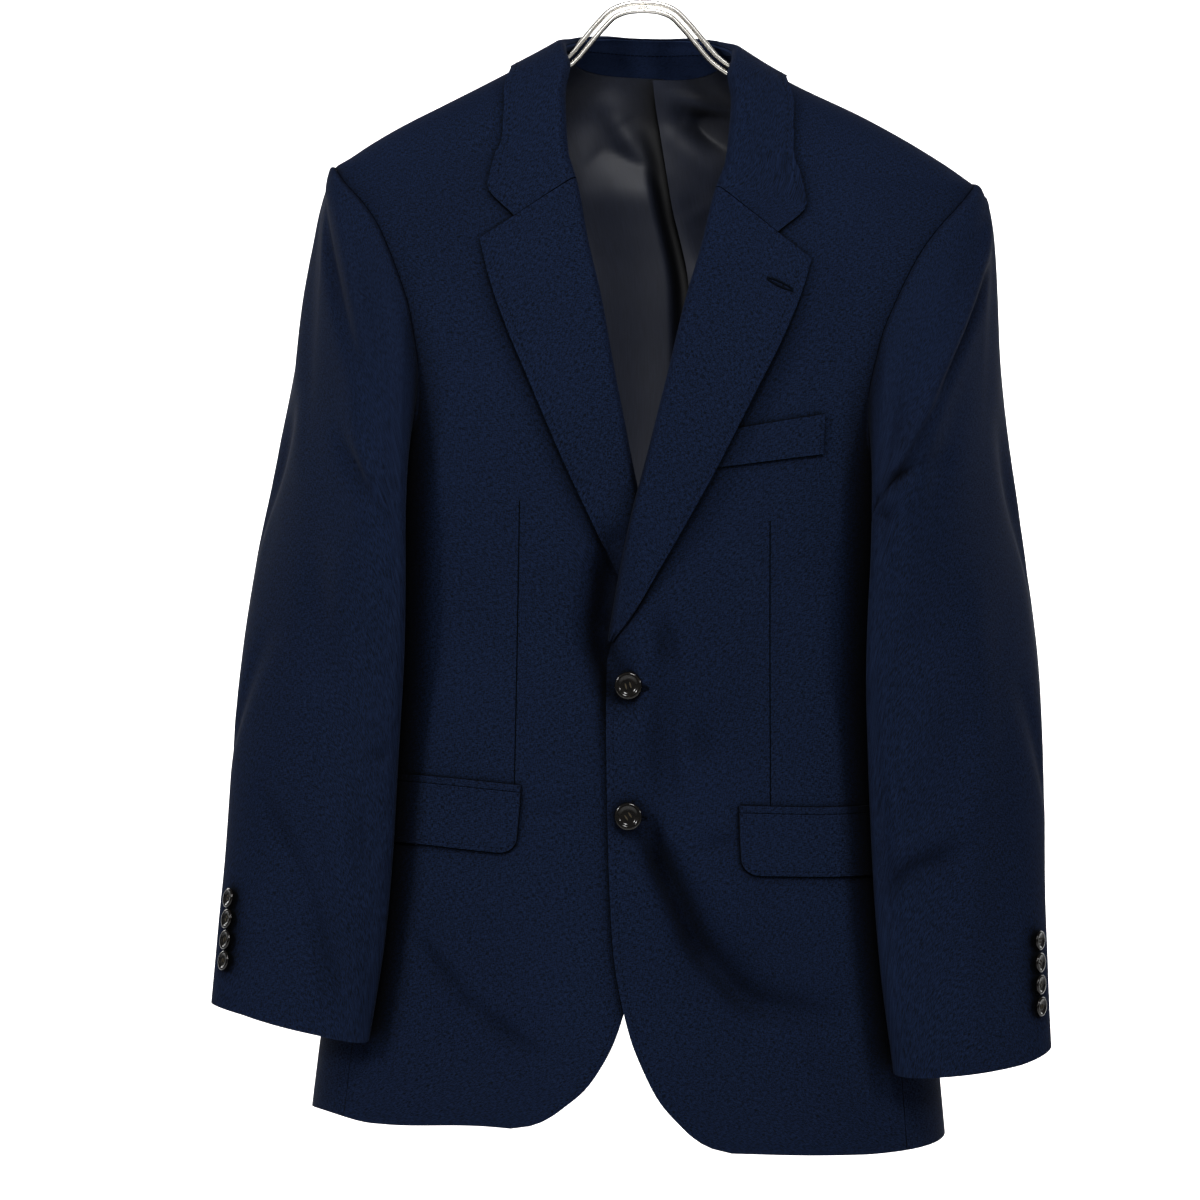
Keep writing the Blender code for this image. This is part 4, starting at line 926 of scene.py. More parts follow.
def collar_fall():
    """The collar's fall: it turns over along the fold line and lies down over the neck and the fronts."""
    ends = both_ways(COLLAR_STATIONS)
    station, side = column([s for s, _ in ends]), column([k for _, k in ends])
    line, edge = on_collar(FOLD_LINE, station, side), on_collar(COLLAR_EDGE, station, side)
    rest = read(COLLAR_REST, "out", station)
    top = rest + read(COLLAR_ROLL, "top", station)

    def place(turn, height, out):
        """A point over the torso, with turns that run from the wearer's right end."""
        return torso(-turn, height, out)

    outer = turned_back(place, line, edge, -CLOTH, top, rest, COLLAR_COLUMNS)
    inner = outer + outward(outer) * FACING
    cut("collar_fall", (outer, inner), held="folded", rests_on="collar_stand")
    keep_line("collar_edge", inset(outer, STITCH_COLUMN, -ON_TOP)[8:-8])


NECK_SEAM = table("along turn height", [
    (0.15, 16.8, 8.0), (0.28, 21.5, 36.0), (0.42, 38.0, 70.0), (0.52, 58.0, 83.0), (0.62, 84.0, 90.0),
    (0.75, 115.0, 87.0), (0.88, 148.0, 81.0), (1.0, 180.0, 79.0),
])
STAND_STATIONS = [s for s in COLLAR_STATIONS if s > 0.15]
STAND_COLUMNS = 14


def collar_stand():
    """The collar's stand, inside the neck, from the fold down to a lap inside the neckline."""
    ends = both_ways(STAND_STATIONS)
    station, side = column([s for s, _ in ends]), column([k for _, k in ends])
    line, seam = on_collar(FOLD_LINE, station, side), on_collar(NECK_SEAM, station, side)
    across = 0.4 / np.hypot(0.9 * (line[0] - seam[0]), line[1] - seam[1])
    across = across + (1 - across) * shares(STAND_COLUMNS)
    turns, levels = (low + (high - low) * across for low, high in zip(line, seam))
    depth = CLOTH + 1.7 * CLEAR * ease(0, 0.3, shares(STAND_COLUMNS)) + 0.3
    skins = wall(torso, -turns, levels, -depth, FACING)
    # Its worsted is the lighter copy: painted light, as the stand lies in the neck's shade.
    cut("collar_stand", skins, look="stand_worsted_painted_light", held="folded", rests_on="back_left")
    inside = torso(-turns, levels, -depth - FACING - ON_TOP)
    keep_line("stand_seam", inside[:, 4])
    keep_line("stand_foot", inside[:, -3])


# ---------------------------------------------------------------- the sleeves

# Level rings below the armhole, each an oval that is long from its inner front to its outer back.
SLEEVE = table("height x y long short angle", [
    (-290, 234.0, -25, 89, 24, 46),
    (-360, 237.0, -33, 84, 25, 38),
    (-440, 239.5, -39, 76, 26, 30),
    (-520, 241.5, -49, 71, 24, 24),
    (-580, 245.0, -56, 67.5, 22, 19),
    (-655, 252.0, -62, 62.5, 20, 15),
])
BICEP = -290.0
# Where each station's cloth heads for as it leaves the armhole: out from the body, back (+) and down.
SLEEVE_HEAD = table("station out back down", [
    (0, 25, 0, 2), (45, 16, -10, 10), (90, 2, -13, 28), (135, 3, -8, 24), (180, 13, 0, 14),
    (225, 17, 6, 17), (270, 31, 12, 24), (315, 41, 8, 14), (360, 25, 0, 2),
])
CUFF_INNER = -652.0
CUFF_OUTER = -633.5
CUFF_INNER_X, CUFF_OUTER_X = 193.0, 312.0
CUFF_DIP = 5.0  # the cuff's front edge hangs this much lower
FORE_SEAM = 120.0  # stations of the sleeve's two seams
HIND_SEAM = 270.0
SLIP = table("height share", [(-655, 0.4), (-440, 0.55), (-290, 0.62)])  # how much of the front's shift it takes
# A crease's line runs between two places on the sleeve, each a station and a share of the way down.
SLEEVE_FOLDS = listed("side station1 down1 station2 down2 width depth", [
    (1, 62, 0.10, 72, 0.52, 12, -3.0),
    (1, 40, 0.16, 55, 0.60, 14, 2.6),
    (1, 20, 0.30, 88, 0.66, 16, -2.5),
    (1, 10, 0.55, 60, 0.74, 16, 2.5),
    (-1, 60, 0.08, 70, 0.48, 12, -3.0),
    (-1, 38, 0.14, 52, 0.55, 14, 2.4),
    (-1, 82, 0.48, 12, 0.80, 16, -3.0),
    (-1, 60, 0.42, 0, 0.72, 18, 2.2),
    (1, 330, 0.12, 325, 0.50, 14, -2.2),
    (-1, 330, 0.12, 322, 0.50, 14, -2.2),
    (1, 300, 0.45, 285, 0.70, 16, -2.5),
    (-1, 300, 0.40, 285, 0.66, 16, -2.5),
])
DOWN_SPAN = 640.0  # what one share of the way down is in millimetres
STATION_SPAN = 1.05  # and one degree of a station
FULLNESS = {1: 0.06, -1: -0.025}  # how much wider each sleeve hangs about its middle
SLEEVE_MIDDLE = 237.0
# Smaller creases, in the same columns.
SLEEVE_CREASES = listed("side station1 down1 station2 down2 width depth", [
    (1, 12, 0.13, 48, 0.32, 8, 4.4),
    (1, 48, 0.31, 74, 0.37, 8, 4.8),
    (1, 10, 0.20, 60, 0.37, 6, -4.8),
    (1, 108, 0.37, 30, 0.385, 5, -4.3),
    (1, 98, 0.395, 60, 0.44, 5, -3.8),
    (1, 66, 0.815, 44, 0.793, 5, -4.8),
    (1, 46, 0.794, 14, 0.778, 6, -3.8),
    (1, 66, 0.79, 16, 0.75, 9, 4.3),
    (1, 2, 0.52, 6, 0.98, 14, 3.8),
    (1, 40, 0.50, 66, 0.70, 14, -2.9),
    (1, 84, 0.62, 60, 0.90, 12, -3.4),
    (-1, 12, 0.12, 44, 0.31, 8, -5.8),
    (-1, 36, 0.10, 58, 0.30, 9, 4.3),
    (-1, -24, 0.20, -2, 0.46, 12, 2.4),
    (-1, 28, 0.40, 54, 0.452, 6, -4.8),
    (-1, 44, 0.40, 74, 0.46, 8, 3.4),
    (-1, 52, 0.715, 76, 0.712, 4, -3.4),
    (-1, -24, 0.765, 8, 0.845, 6, -3.8),
    (-1, 8, 0.845, 38, 0.98, 7, -4.3),
    (-1, 24, 0.78, 56, 0.96, 10, 3.8),
    (-1, 40, 0.74, 50, 0.84, 6, -2.9),
    (-1, 8, 0.50, 26, 0.68, 12, -2.9),
    (1, 340, 0.36, 296, 0.50, 11, -4.3),
    (-1, 342, 0.36, 296, 0.48, 11, -4.3),
    (1, 330, 0.62, 290, 0.74, 9, -3.4),
    (-1, 334, 0.60, 288, 0.72, 9, -3.4),
])
SLEEVE_STEP = 3.0  # degrees of station between the columns
HEAD_ROWS = 56
ARM_ROWS = 90
ROPE = 0.9  # how far the sleeve's head stands proud along its seam
TAPE_SPREAD = 0.06  # how much wider than the armhole the tape's inner line is
TAPE_DOWNS = (0.015, 0.04, 0.07)  # its other lines, as shares of the way down the sleeve's head
TAPE_UNDER = 0.5  # it lies this far inside the cloth
TAPE_THICK = 0.6


def ring_point(station, height):
    """A point of the sleeve's level ring."""
    psi = np.radians(90.0 - station)
    angle = np.radians(read(SLEEVE, "angle", height))
    long, short = read(SLEEVE, "long", height) * np.cos(psi), read(SLEEVE, "short", height) * np.sin(psi)
    x = read(SLEEVE, "x", height) - long * np.cos(angle) + short * np.sin(angle)
    y = read(SLEEVE, "y", height) - long * np.sin(angle) - short * np.cos(angle)
    return np.stack([x, y, height + 0 * x], axis=-1)


def cuff_height(station):
    """The cuff's height, which rises to the outer side."""
    x = ring_point(station, np.asarray(CUFF_INNER))[..., 0]
    share = (x - CUFF_INNER_X) / (CUFF_OUTER_X - CUFF_INNER_X)
    return CUFF_INNER + (CUFF_OUTER - CUFF_INNER) * share - CUFF_DIP * np.maximum(np.cos(np.radians(station)), 0)


def sleeve_form(station, down):
    """A point of the bare sleeve: down is 0 at the armhole, 1 at the level of the biceps and 2 at the cuff."""
    station, down = np.broadcast_arrays(np.asarray(station, float), np.asarray(down, float))
    start = torso_form(*armhole(station))
    heads = [read(SLEEVE_HEAD, name, station % 360) for name in ("out", "back", "down")]
    head = np.stack([heads[0], heads[1], -heads[2]], axis=-1)
    away = unit(head) * SEAM
    end = ring_point(station, BICEP + 0 * station)
    lead = (end - ring_point(station, BICEP - 10.0 + 0 * station)) / 10.0
    drop = 0.45 * (start[..., 2:] - BICEP)
    t = np.clip(down, 0, 1)[..., None]
    first, last = start + away + head, end + lead * drop
    upper = (
        (start + away) * (1 - t) ** 3 + 3 * first * t * (1 - t) ** 2 + 3 * last * t * t * (1 - t) + end * t**3
    )
    height = BICEP + (cuff_height(station) - BICEP) * np.clip(down - 1, 0, 1)
    return np.where(down[..., None] <= 1, upper, ring_point(station, height))


def sleeve_fold_height(side, station, down):
    """How far the sleeve's creases move its cloth out."""
    total = np.zeros_like(station)
    shown = (station + 90) % 360 - 90
    for fold in (f for f in SLEEVE_FOLDS + SLEEVE_CREASES if f.side == side):
        turn_1, turn_2 = ((s + 90) % 360 - 90 for s in (fold.station1, fold.station2))
        line = (turn_1 * STATION_SPAN, fold.down1 * DOWN_SPAN, turn_2 * STATION_SPAN, fold.down2 * DOWN_SPAN)
        gap, share = along(shown * STATION_SPAN, down / 2 * DOWN_SPAN, *line)
        total += swelling(fold, gap, share, end=0.12)
    head = np.exp(-(((down - 0.05) / 0.045) ** 2)) * ease(-110, -60, shown) * ease(110, 70, shown)
    return total * ease(0.0, 0.25, down) + ROPE * head


def sleeve_point(side, station, down, out):
    """A point off the sleeve's cloth, for the sleeve on the wearer's left; the other one is its mirror."""
    station, down = np.broadcast_arrays(np.asarray(station, float), np.asarray(down, float))
    step = 0.01
    lower, upper = np.maximum(down - step, 0), np.minimum(down + step, 2)
    around_it = sleeve_form(station + 1.0, down) - sleeve_form(station - 1.0, down)
    normal = unit(np.cross(around_it, sleeve_form(station, upper) - sleeve_form(station, lower)))
    lift = np.asarray(out, float) + sleeve_fold_height(side, station, down)
    point = sleeve_form(station, down) + normal * lift[..., None]
    wider = FULLNESS[side] * ease(0, 0.9, down) * ease(2, 1.2, down)
    point[..., 0] += wider * (point[..., 0] - SLEEVE_MIDDLE)
    return point


def sleeve_share(points, down):
    """How much of the front's shift each point of a sleeve takes."""
    low = ease(0, 1, down)
    return near_centre(points[..., 0]) * (1 - low) + read(SLIP, "share", points[..., 2]) * low


def sleeve(side, layer, first, last):
    """A cut piece of a sleeve, between two stations."""
    downs = column([*np.linspace(0, 1, HEAD_ROWS + 1) ** 1.15, *np.linspace(1, 2, ARM_ROWS + 1)[1:]])
    allow = 0.75 * SEAM / np.linalg.norm(
        [sleeve_form(s + 0.5, downs) - sleeve_form(s - 0.5, downs) for s in (first, last)], axis=-1
    )
    low, high = first + allow[0], last - allow[1]
    stations = low + (high - low) * shares(round((last - first) / SLEEVE_STEP))
    outer, inner = (sleeve_point(side, stations, downs, -depth) for depth in (0, CLOTH))
    share = sleeve_share(outer, downs + 0 * stations)
    skins = (outer * [side, 1, 1], inner * [side, 1, 1])
    cut(f"{layer}_sleeve_{WORD[side]}", skins, share=share, rests_on=f"front_{WORD[side]}")


def armhole_tape(side):
    """The armhole's seam allowance, turned into the sleeve, which closes the seam from inside."""
    stations = column(np.linspace(0, 360, 181))
    turns, heights = armhole(stations)
    spread = 1 + TAPE_SPREAD * ease(10, 30, stations) * ease(350, 330, stations)
    turns, heights = 90 + (turns - 90) * spread, ARMHOLE_MIDDLE + (heights - ARMHOLE_MIDDLE) * spread
    downs = np.array(TAPE_DOWNS)[None, :] + 0 * stations
    stations = stations + 0 * downs

    def skin(depth):
        """The tape's grid at a depth inside the cloth."""
        parts = torso(turns, heights, -CLOTH - depth), sleeve_point(side, stations, downs, -CLOTH - depth)
        return np.concatenate(parts, axis=1)

    outer, inner = skin(TAPE_UNDER), skin(TAPE_UNDER + TAPE_THICK)
    share = np.concatenate([near_centre(outer[:, :1, 0]), sleeve_share(outer[:, 1:], downs)], axis=1)
    skins = (outer * [side, 1, 1], inner * [side, 1, 1])
    name = f"armhole_tape_{WORD[side]}"
    cloth(name, [], [skins], share=share, held="folded", rests_on=f"back_{WORD[side]}")


# ---------------------------------------------------------------- pockets

FLAP_START, FLAP_TURN = 79.0, 67.0  # from this distance off the centre line to this turn
FLAP_TOP = {-1: -464.0, 1: -469.0}
FLAP_DEEP = 45.0
FLAP_RISE = 0.02  # how the pocket's line rises to the side
CORNER = 11.0
JET_TALL = 5.0
JET_THICK = 1.2
JET_LIFT = CLEAR + JET_THICK
POCKET_ROWS, POCKET_COLUMNS = 14, 48


def pocket_grid(top, bottom, corner, columns):
    """The turns and heights of a flap or jet, whose lower corners are rounded."""
    start = turn_at(FLAP_START, top)
    girth = math.radians(FLAP_TURN - start) * read(TORSO, "half_width", top) * 0.78
    spacing = shares(columns) if corner == 0 else (1 - np.cos(math.pi * shares(columns))) / 2
    turns = start + (FLAP_TURN - start) * spacing
    from_end = np.minimum(spacing, 1 - spacing) * girth
    inside = np.clip(corner - from_end, 0, corner)
    low = bottom + corner - np.sqrt(corner**2 - inside**2)
    rise = FLAP_RISE * spacing * girth
    down = column(np.linspace(0, 1, POCKET_ROWS + 1))
    levels = (top + rise) * (1 - down) + (low + rise) * down
    return turns + 0 * levels, levels


def pocket_piece(side, kind, top, bottom, corner, lift, thickness):
    """A flap or a jet, lying on the front and side panels."""
    turns, levels = pocket_grid(top, bottom, corner, POCKET_COLUMNS)
    shift = lap(side, read(TORSO, "half_width", levels) * np.sin(np.radians(turns)), levels)
    skins = wall(torso, turns * side, levels, shift + lift, thickness)
    cut(f"pocket_{kind}_{WORD[side]}", skins, rests_on=f"front_{WORD[side]}")
    if corner:
        off = torso(turns * side, levels, shift + lift + CLOSE_ON_TOP)
        keep_line(f"flap_edge_{WORD[side]}", off[-2, 3:-3])


WELT_LOW, WELT_HIGH = ((54, -221), (132.6, -205)), ((62, -193), (133, -176))  # each edge's two ends
WELT_ROWS, WELT_COLUMNS = 10, 30
WELT_THICK = 1.5


def breast_welt():
    """The breast pocket's welt, which starts under the lapel."""
    rows = column(np.linspace(0, 1, WELT_ROWS + 1))
    left, right = ([a + (b - a) * rows for a, b in zip(*ends)] for ends in zip(WELT_LOW, WELT_HIGH))
    x, z = (a + (b - a) * shares(WELT_COLUMNS) for a, b in zip(left, right))
    skins = wall(partial(front_point, 1), x, z, CLEAR + WELT_THICK, WELT_THICK)
    cut("breast_welt", skins, rests_on="front_left")
    keep_line("welt_side", front_point(1, x, z, CLEAR + WELT_THICK + CLOSE_ON_TOP)[:, -2])


# ---------------------------------------------------------------- buttons

FRONT_BUTTON, CUFF_BUTTON = 20.0, 14.6
BUTTON_TALL = 3.6  # of a front button; a cuff button is smaller in proportion
FRONT_BUTTONS = [Spot(-2.9, -382.0), Spot(-0.4, -476.0)]
CUFF_BUTTONS = 4
CUFF_BUTTON_STATION = 311.0
CUFF_BUTTON_FIRST = 36.0  # from the cuff's edge to the lowest button's centre
CUFF_BUTTON_STEP = 15.2
# Half of a front button's section from its middle out, as shares of its radius and its height.
BUTTON_FACE = listed("radius height", [
    (0.0, 0.62), (0.3, 0.60), (0.52, 0.62), (0.62, 0.72), (0.70, 0.94), (0.78, 1.0), (0.90, 0.98),
    (0.97, 0.86), (1.0, 0.62), (0.98, 0.36), (0.86, 0.12), (0.6, 0.0), (0.0, 0.0),
])
BUTTON_STEPS = 40
HOLE_OFF = 0.17  # each hole's middle off the button's centre both ways, as a share of its radius
HOLE_RADIUS = 0.085
FACE_LEVEL = 0.61  # of the face inside the rim, as a share of the button's height
FRONT_LEAN, CUFF_LEAN = (-0.14, 0.0, 0.05), 0.45  # how the buttons hang over on their threads
FRONT_SHANK, CUFF_SHANK = 2.6, 1.3  # from the cloth to a button's back


def turned_ring(bm, points, steps):
    """Spins a section about Z and closes it."""
    verts = [bm.verts.new((r, 0.0, z)) for r, z in points]
    edges = [bm.edges.new(pair) for pair in zip(verts, verts[1:])]
    turn = {"axis": (0, 0, 1), "cent": (0, 0, 0), "angle": math.tau, "steps": steps}
    bmesh.ops.spin(bm, geom=verts + edges, use_merge=True, **turn)


def button_mesh(name, diameter):
    """A rimmed button with four holes and its thread, its back on the level z = 0: horn, thread and shade."""
    tall, radius = BUTTON_TALL * diameter / FRONT_BUTTON * MM, diameter / 2 * MM
    bm = bmesh.new()
    turned_ring(bm, [(p.radius * radius, p.height * tall) for p in BUTTON_FACE], BUTTON_STEPS)
    bmesh.ops.remove_doubles(bm, verts=bm.verts, dist=1e-6)
    face_level = FACE_LEVEL * tall
    off, hole = HOLE_OFF * radius, HOLE_RADIUS * radius

    def paint(made, look):
        """Gives the faces just made one of the button's materials."""
        for face in {f for v in made["verts"] for f in v.link_faces}:
            face.material_index = look

    for sx in (-1, 1):
        for sy in (-1, 1):
            spot = Matrix.Translation((sx * off, sy * off, face_level))
            size = {"segments": 12, "radius1": hole, "radius2": hole, "depth": 0.1 * MM}
            # Each hole is a flat disc in the near-black seam thread: painted shade where the hole goes in.
            paint(bmesh.ops.create_cone(bm, cap_ends=True, matrix=spot, **size), 2)
        spot = Matrix.Translation((sx * off, 0, face_level + 0.12 * MM))
        size = Matrix.Diagonal((0.06 * radius, 0.25 * radius, 0.35 * MM, 1.0))
        paint(bmesh.ops.create_uvsphere(bm, u_segments=8, v_segments=8, radius=1.0, matrix=spot @ size), 1)
    bmesh.ops.recalc_face_normals(bm, faces=bm.faces)
    mesh = bpy.data.meshes.new(name)
    bm.to_mesh(mesh)
    bm.free()
    mesh.shade_smooth()
    mesh.set_sharp_from_angle(angle=math.radians(60))
    for look in ("horn", "button_thread", "seam_thread_and_shade"):
        mesh.materials.append(finish(look))
    return mesh


def seat_matrix(seat, above, spin, lean, rise):
    """Where a button stands: its seat and its axis in the world, leaning on its thread shank towards a point."""
    low, high = Vector(hang(seat)), Vector(hang(above))
    axis = (high - low).normalized()
    turn = (axis + Vector(lean)).to_track_quat("Z", "Y").to_matrix().to_4x4()
    return Matrix.Translation(low + axis * rise * MM) @ turn @ Matrix.Rotation(spin, 4, "Z")


def buttons_piece(name, nodes, diameter, places):
    """Buttons in their places, as one mesh."""
    one = button_mesh(name, diameter)
    bm = bmesh.new()
    for place in places:
        copy = one.copy()
        copy.transform(place)
        bm.from_mesh(copy)
        bpy.data.meshes.remove(copy)
    bm.to_mesh(one)
    bm.free()
    give(new_object(name, one), nodes, "dark_horn")


def front_buttons():
    """The two fastened buttons on the centre front."""
    for number, spot in enumerate(FRONT_BUTTONS, 1):
        seat, above = (settle(front_point(1, spot.x, spot.height, out)) for out in (0.6, 10.0))
        places = [seat_matrix(seat, above, 0.3 * number, FRONT_LEAN, FRONT_SHANK)]
        buttons_piece(f"front_button_{number}_horn", [f"front_button_{number}"], FRONT_BUTTON, places)


def cuff_buttons(side):
    """A row of buttons up each sleeve's hind seam."""
    places, nodes = [], []
    for number in range(CUFF_BUTTONS):
        up = CUFF_BUTTON_FIRST + number * CUFF_BUTTON_STEP
        down = 2.0 - up / (BICEP - CUFF_OUTER)
        ends = []
        for out in (0.9, 10.0):
            point = sleeve_point(side, CUFF_BUTTON_STATION, down, out)
            ends.append(settle(point * [side, 1, 1], sleeve_share(point, np.asarray(down))))
        places.append(seat_matrix(*ends, 0.5 * number, (CUFF_LEAN * side, 0.0, 0.0), CUFF_SHANK))
        nodes.append(f"cuff_button_{WORD[side]}_{number + 1}")
    buttons_piece(f"cuff_buttons_{WORD[side]}", nodes, CUFF_BUTTON, places)


# ---------------------------------------------------------------- stitches and seams


def line_mesh(name, lines, closed=False):
    """Lines of points as a mesh of edges."""
    edges, start = [], 0
    for line in lines:
        count = len(line)
        edges += [(start + k, start + (k + 1) % count) for k in range(count if closed else count - 1)]
        start += count
    mesh = bpy.data.meshes.new(name)
    mesh.from_pydata(np.vstack(lines).tolist(), edges, [])
    return mesh


def stitch_tree(name, across):
    """Stitches along a line: each lies along the line, or across it where across is true."""
    tree = bpy.data.node_groups.new(name, "GeometryNodeTree")
    taken = {"Geometry": "Geometry", "Pitch": "Float", "Length": "Float", "Radius": "Float", "Thread": "Material"}
    for label, kind in taken.items():
        tree.interface.new_socket(label, in_out="INPUT", socket_type=f"NodeSocket{kind}")
    tree.interface.new_socket("Geometry", in_out="OUTPUT", socket_type="NodeSocketGeometry")
    given = tree.nodes.new("NodeGroupInput").outputs
    curve = put(tree, "GeometryNodeMeshToCurve", {}, {"Mesh": given["Geometry"]}).outputs["Curve"]
    curve = put(tree, "GeometryNodeSetCurveNormal", {"mode": "Z_UP"}, {"Curve": curve}).outputs["Curve"]
    spots = put(tree, "GeometryNodeCurveToPoints", {"mode": "LENGTH"}, {"Curve": curve, "Length": given["Pitch"]})
    one = put(
        tree,
        "GeometryNodeMeshCylinder",
        {"fill_type": "TRIANGLE_FAN"},
        {"Vertices": 6, "Radius": given["Radius"], "Depth": given["Length"]},
    ).outputs["Mesh"]
    if across:
        one = put(
            tree, "GeometryNodeTransform", {}, {"Geometry": one, "Rotation": (math.pi / 2, 0.0, 0.0)}
        ).outputs["Geometry"]
    laid = put(
        tree,
        "GeometryNodeInstanceOnPoints",
        {},
        {"Points": spots.outputs["Points"], "Instance": one, "Rotation": spots.outputs["Rotation"]},
    ).outputs["Instances"]
    real = put(tree, "GeometryNodeRealizeInstances", {}, {"Geometry": laid}).outputs["Geometry"]
    done = put(tree, "GeometryNodeSetMaterial", {}, {"Geometry": real, "Material": given["Thread"]})
    put(tree, "NodeGroupOutput", {}, {0: done.outputs["Geometry"]})
    return tree


def sewn(name, lines, tree, look, pitch, length, radius, closed=False):
    """Runs a stitch tree along lines and keeps the result as a plain mesh."""
    guide = new_object(f"{name}_guide", line_mesh(name, lines, closed))
    sewing = guide.modifiers.new("stitches", "NODES")
    sewing.node_group = tree
    values = {"Pitch": pitch * MM, "Length": length * MM, "Radius": radius * MM, "Thread": finish(look)}
    for item in tree.interface.items_tree:
        if item.in_out == "INPUT" and item.name in values:
            sewing[item.identifier] = values[item.name]
    seen = guide.evaluated_get(bpy.context.evaluated_depsgraph_get())
    mesh = bpy.data.meshes.new_from_object(seen)
    mesh.name = name
    guide.modifiers.remove(sewing)
    bpy.data.objects.remove(guide)
    mesh.shade_smooth()
    give(new_object(name, mesh), [], "navy_worsted")


HOLE_LONG, HOLE_WIDE = 20.0, 3.2  # a worked buttonhole
HOLE_STARTS = [(-2.5, -382.5), (-1.0, -476.5)]  # where each front buttonhole's outer end is
HOLE_UNDER = 6.0  # how much of it the button covers
# Each kind of stitch: how far apart, how long, and the thread's radius.
HOLE_STITCH, STAND_STITCH, DART_STITCH = (0.75, 1.3, 0.36), (3.2, 2.2, 0.26), (1.2, 1.5, 0.45)
EDGE_THREAD = 0.17
LAPEL_HOLE = ((78.7, -84.0), (97.4, -92.0))  # the lapel's buttonhole, from end to end


def oval(start, end, wide, place):
    """A closed line round a slit between two (x, z) points, on a surface that place gives."""
    start, end = np.array(start), np.array(end)
    run = unit(end - start)
    off = np.array([-run[1], run[0]])
    middle, half = (start + end) / 2, np.linalg.norm(end - start) / 2
    angles = np.linspace(0, math.tau, 48, endpoint=False)
    flat = [middle + run * half * math.cos(a) + off * wide / 2 * math.sin(a) for a in angles]
    return np.array([place(*p) for p in flat])


def on_lapel(x, z):
    """A point of the wearer's left lapel, off its outer skin, named by where it hangs in the jacket's frame."""
    skin = settle(lapel_skin(1))
    flat = skin.reshape(-1, 3)
    near = np.argsort(np.hypot(flat[:, 0] - x, flat[:, 2] - z))[:4]
    y = flat[near, 1].mean()
    return hang(np.array([x, y - 0.25, z]))


def buttonholes():
    """The worked buttonholes: two in the front's edge and one in the lapel."""

    def on_front(x, z):
        """A point on the wearer's left front."""
        return hang(settle(front_point(1, x, z, ON_TOP)))

    tree = stitch_tree("buttonhole_stitch", across=True)
    rings = []
    for x, z in HOLE_STARTS:
        rings.append(oval((x, z), (x + HOLE_LONG - HOLE_UNDER, z - 0.5), HOLE_WIDE, on_front))
    rings.append(oval(*LAPEL_HOLE, HOLE_WIDE, on_lapel))
    for number, ring_points in enumerate(rings, 1):
        sewn(f"buttonhole_{number}", [ring_points], tree, "hole_thread", *HOLE_STITCH, closed=True)


def stitching(settings):
    """Pick stitches along the edges, the stand's two rows, and the darts' seams, whose near-black thread sunk in the
    cloth is painted shade of the seams' ditches.
    """
    tree = stitch_tree("running_stitch", across=False)
    pitch, length = settings.stitch_pitch / MM, settings.stitch_length / MM
    edges = [line for name, line in LINES.items() if "edge" in name or name == "welt_side"]
    sewn("edge_stitches", edges, tree, "edge_thread", pitch, length, EDGE_THREAD)
    sewn("stand_stitches", [LINES["stand_seam"], LINES["stand_foot"]], tree, "seam_thread_and_shade", *STAND_STITCH)
    sewn("dart_seams_painted_shade", [LINES["dart_right"], LINES["dart_left"]], tree, "seam_thread_and_shade", *DART_STITCH)


# ---------------------------------------------------------------- the hanger

WIRE = 2.0  # radius
ROD_SPACING = 6.1  # between the two rods' middles
HOOK_RADIUS = 24.0  # to the middle of the wire
HOOK_END = 205.0  # degrees, from the right round over the top
STEM_BOTTOM = -61.6
HANGER_LEAN = 1.5  # the arch leans this far to the wearer's left
WELD = (7.0, 3.4, ROD_SPACING - 2 * WIRE - 0.8)
# The lower rod's arch on the wearer's left side, mirrored for the other.
ARCH = table(
    "x z",
    [(0, -70.4), (10, -71.2), (20, -74.5), (30, -83.8), (41, -96.8), (51, -108.4), (62, -117.0)],
)
ARM_CONTACTS = [112, 135, 160, 185, 208, 222]  # distances off the jacket's centre where the cloth lies on the rod
ROD_CLEAR = 1.4
ROD_POINT_EVERY = 3.0


def world_of(point):
    """A point of the jacket's frame in millimetres, as it hangs."""
    return hang(settle(point)) / MM


def crest_point(side, x):
    """The shoulder's crest at a distance off the centre."""
    heights = np.linspace(SHOULDER_TIP, 104, 300)
    height = np.interp(x, read(TORSO, "half_width", heights)[::-1], heights[::-1])
    return world_of([side * x, 0.0, height])


def under_crest(side, x, inset):
    """A point that lies square under the crest."""
    slope = unit(crest_point(side, x + 4.0) - crest_point(side, x - 4.0))
    return crest_point(side, x) + side * inset * np.array([slope[2], 0.0, -slope[0]])


def smooth_line(points, every):
    """Points at even distances on a smooth curve through a few points."""
    points = np.asarray(points, float)
    length = np.concatenate([[0], np.cumsum(np.linalg.norm(np.diff(points, axis=0), axis=1))])
    rows = [table("at value", zip(length, points[:, axis])) for axis in range(points.shape[1])]
    places = np.linspace(0, length[-1], max(2, round(length[-1] / every)) + 1)
    return np.stack([read(row, "value", places) for row in rows], axis=-1)


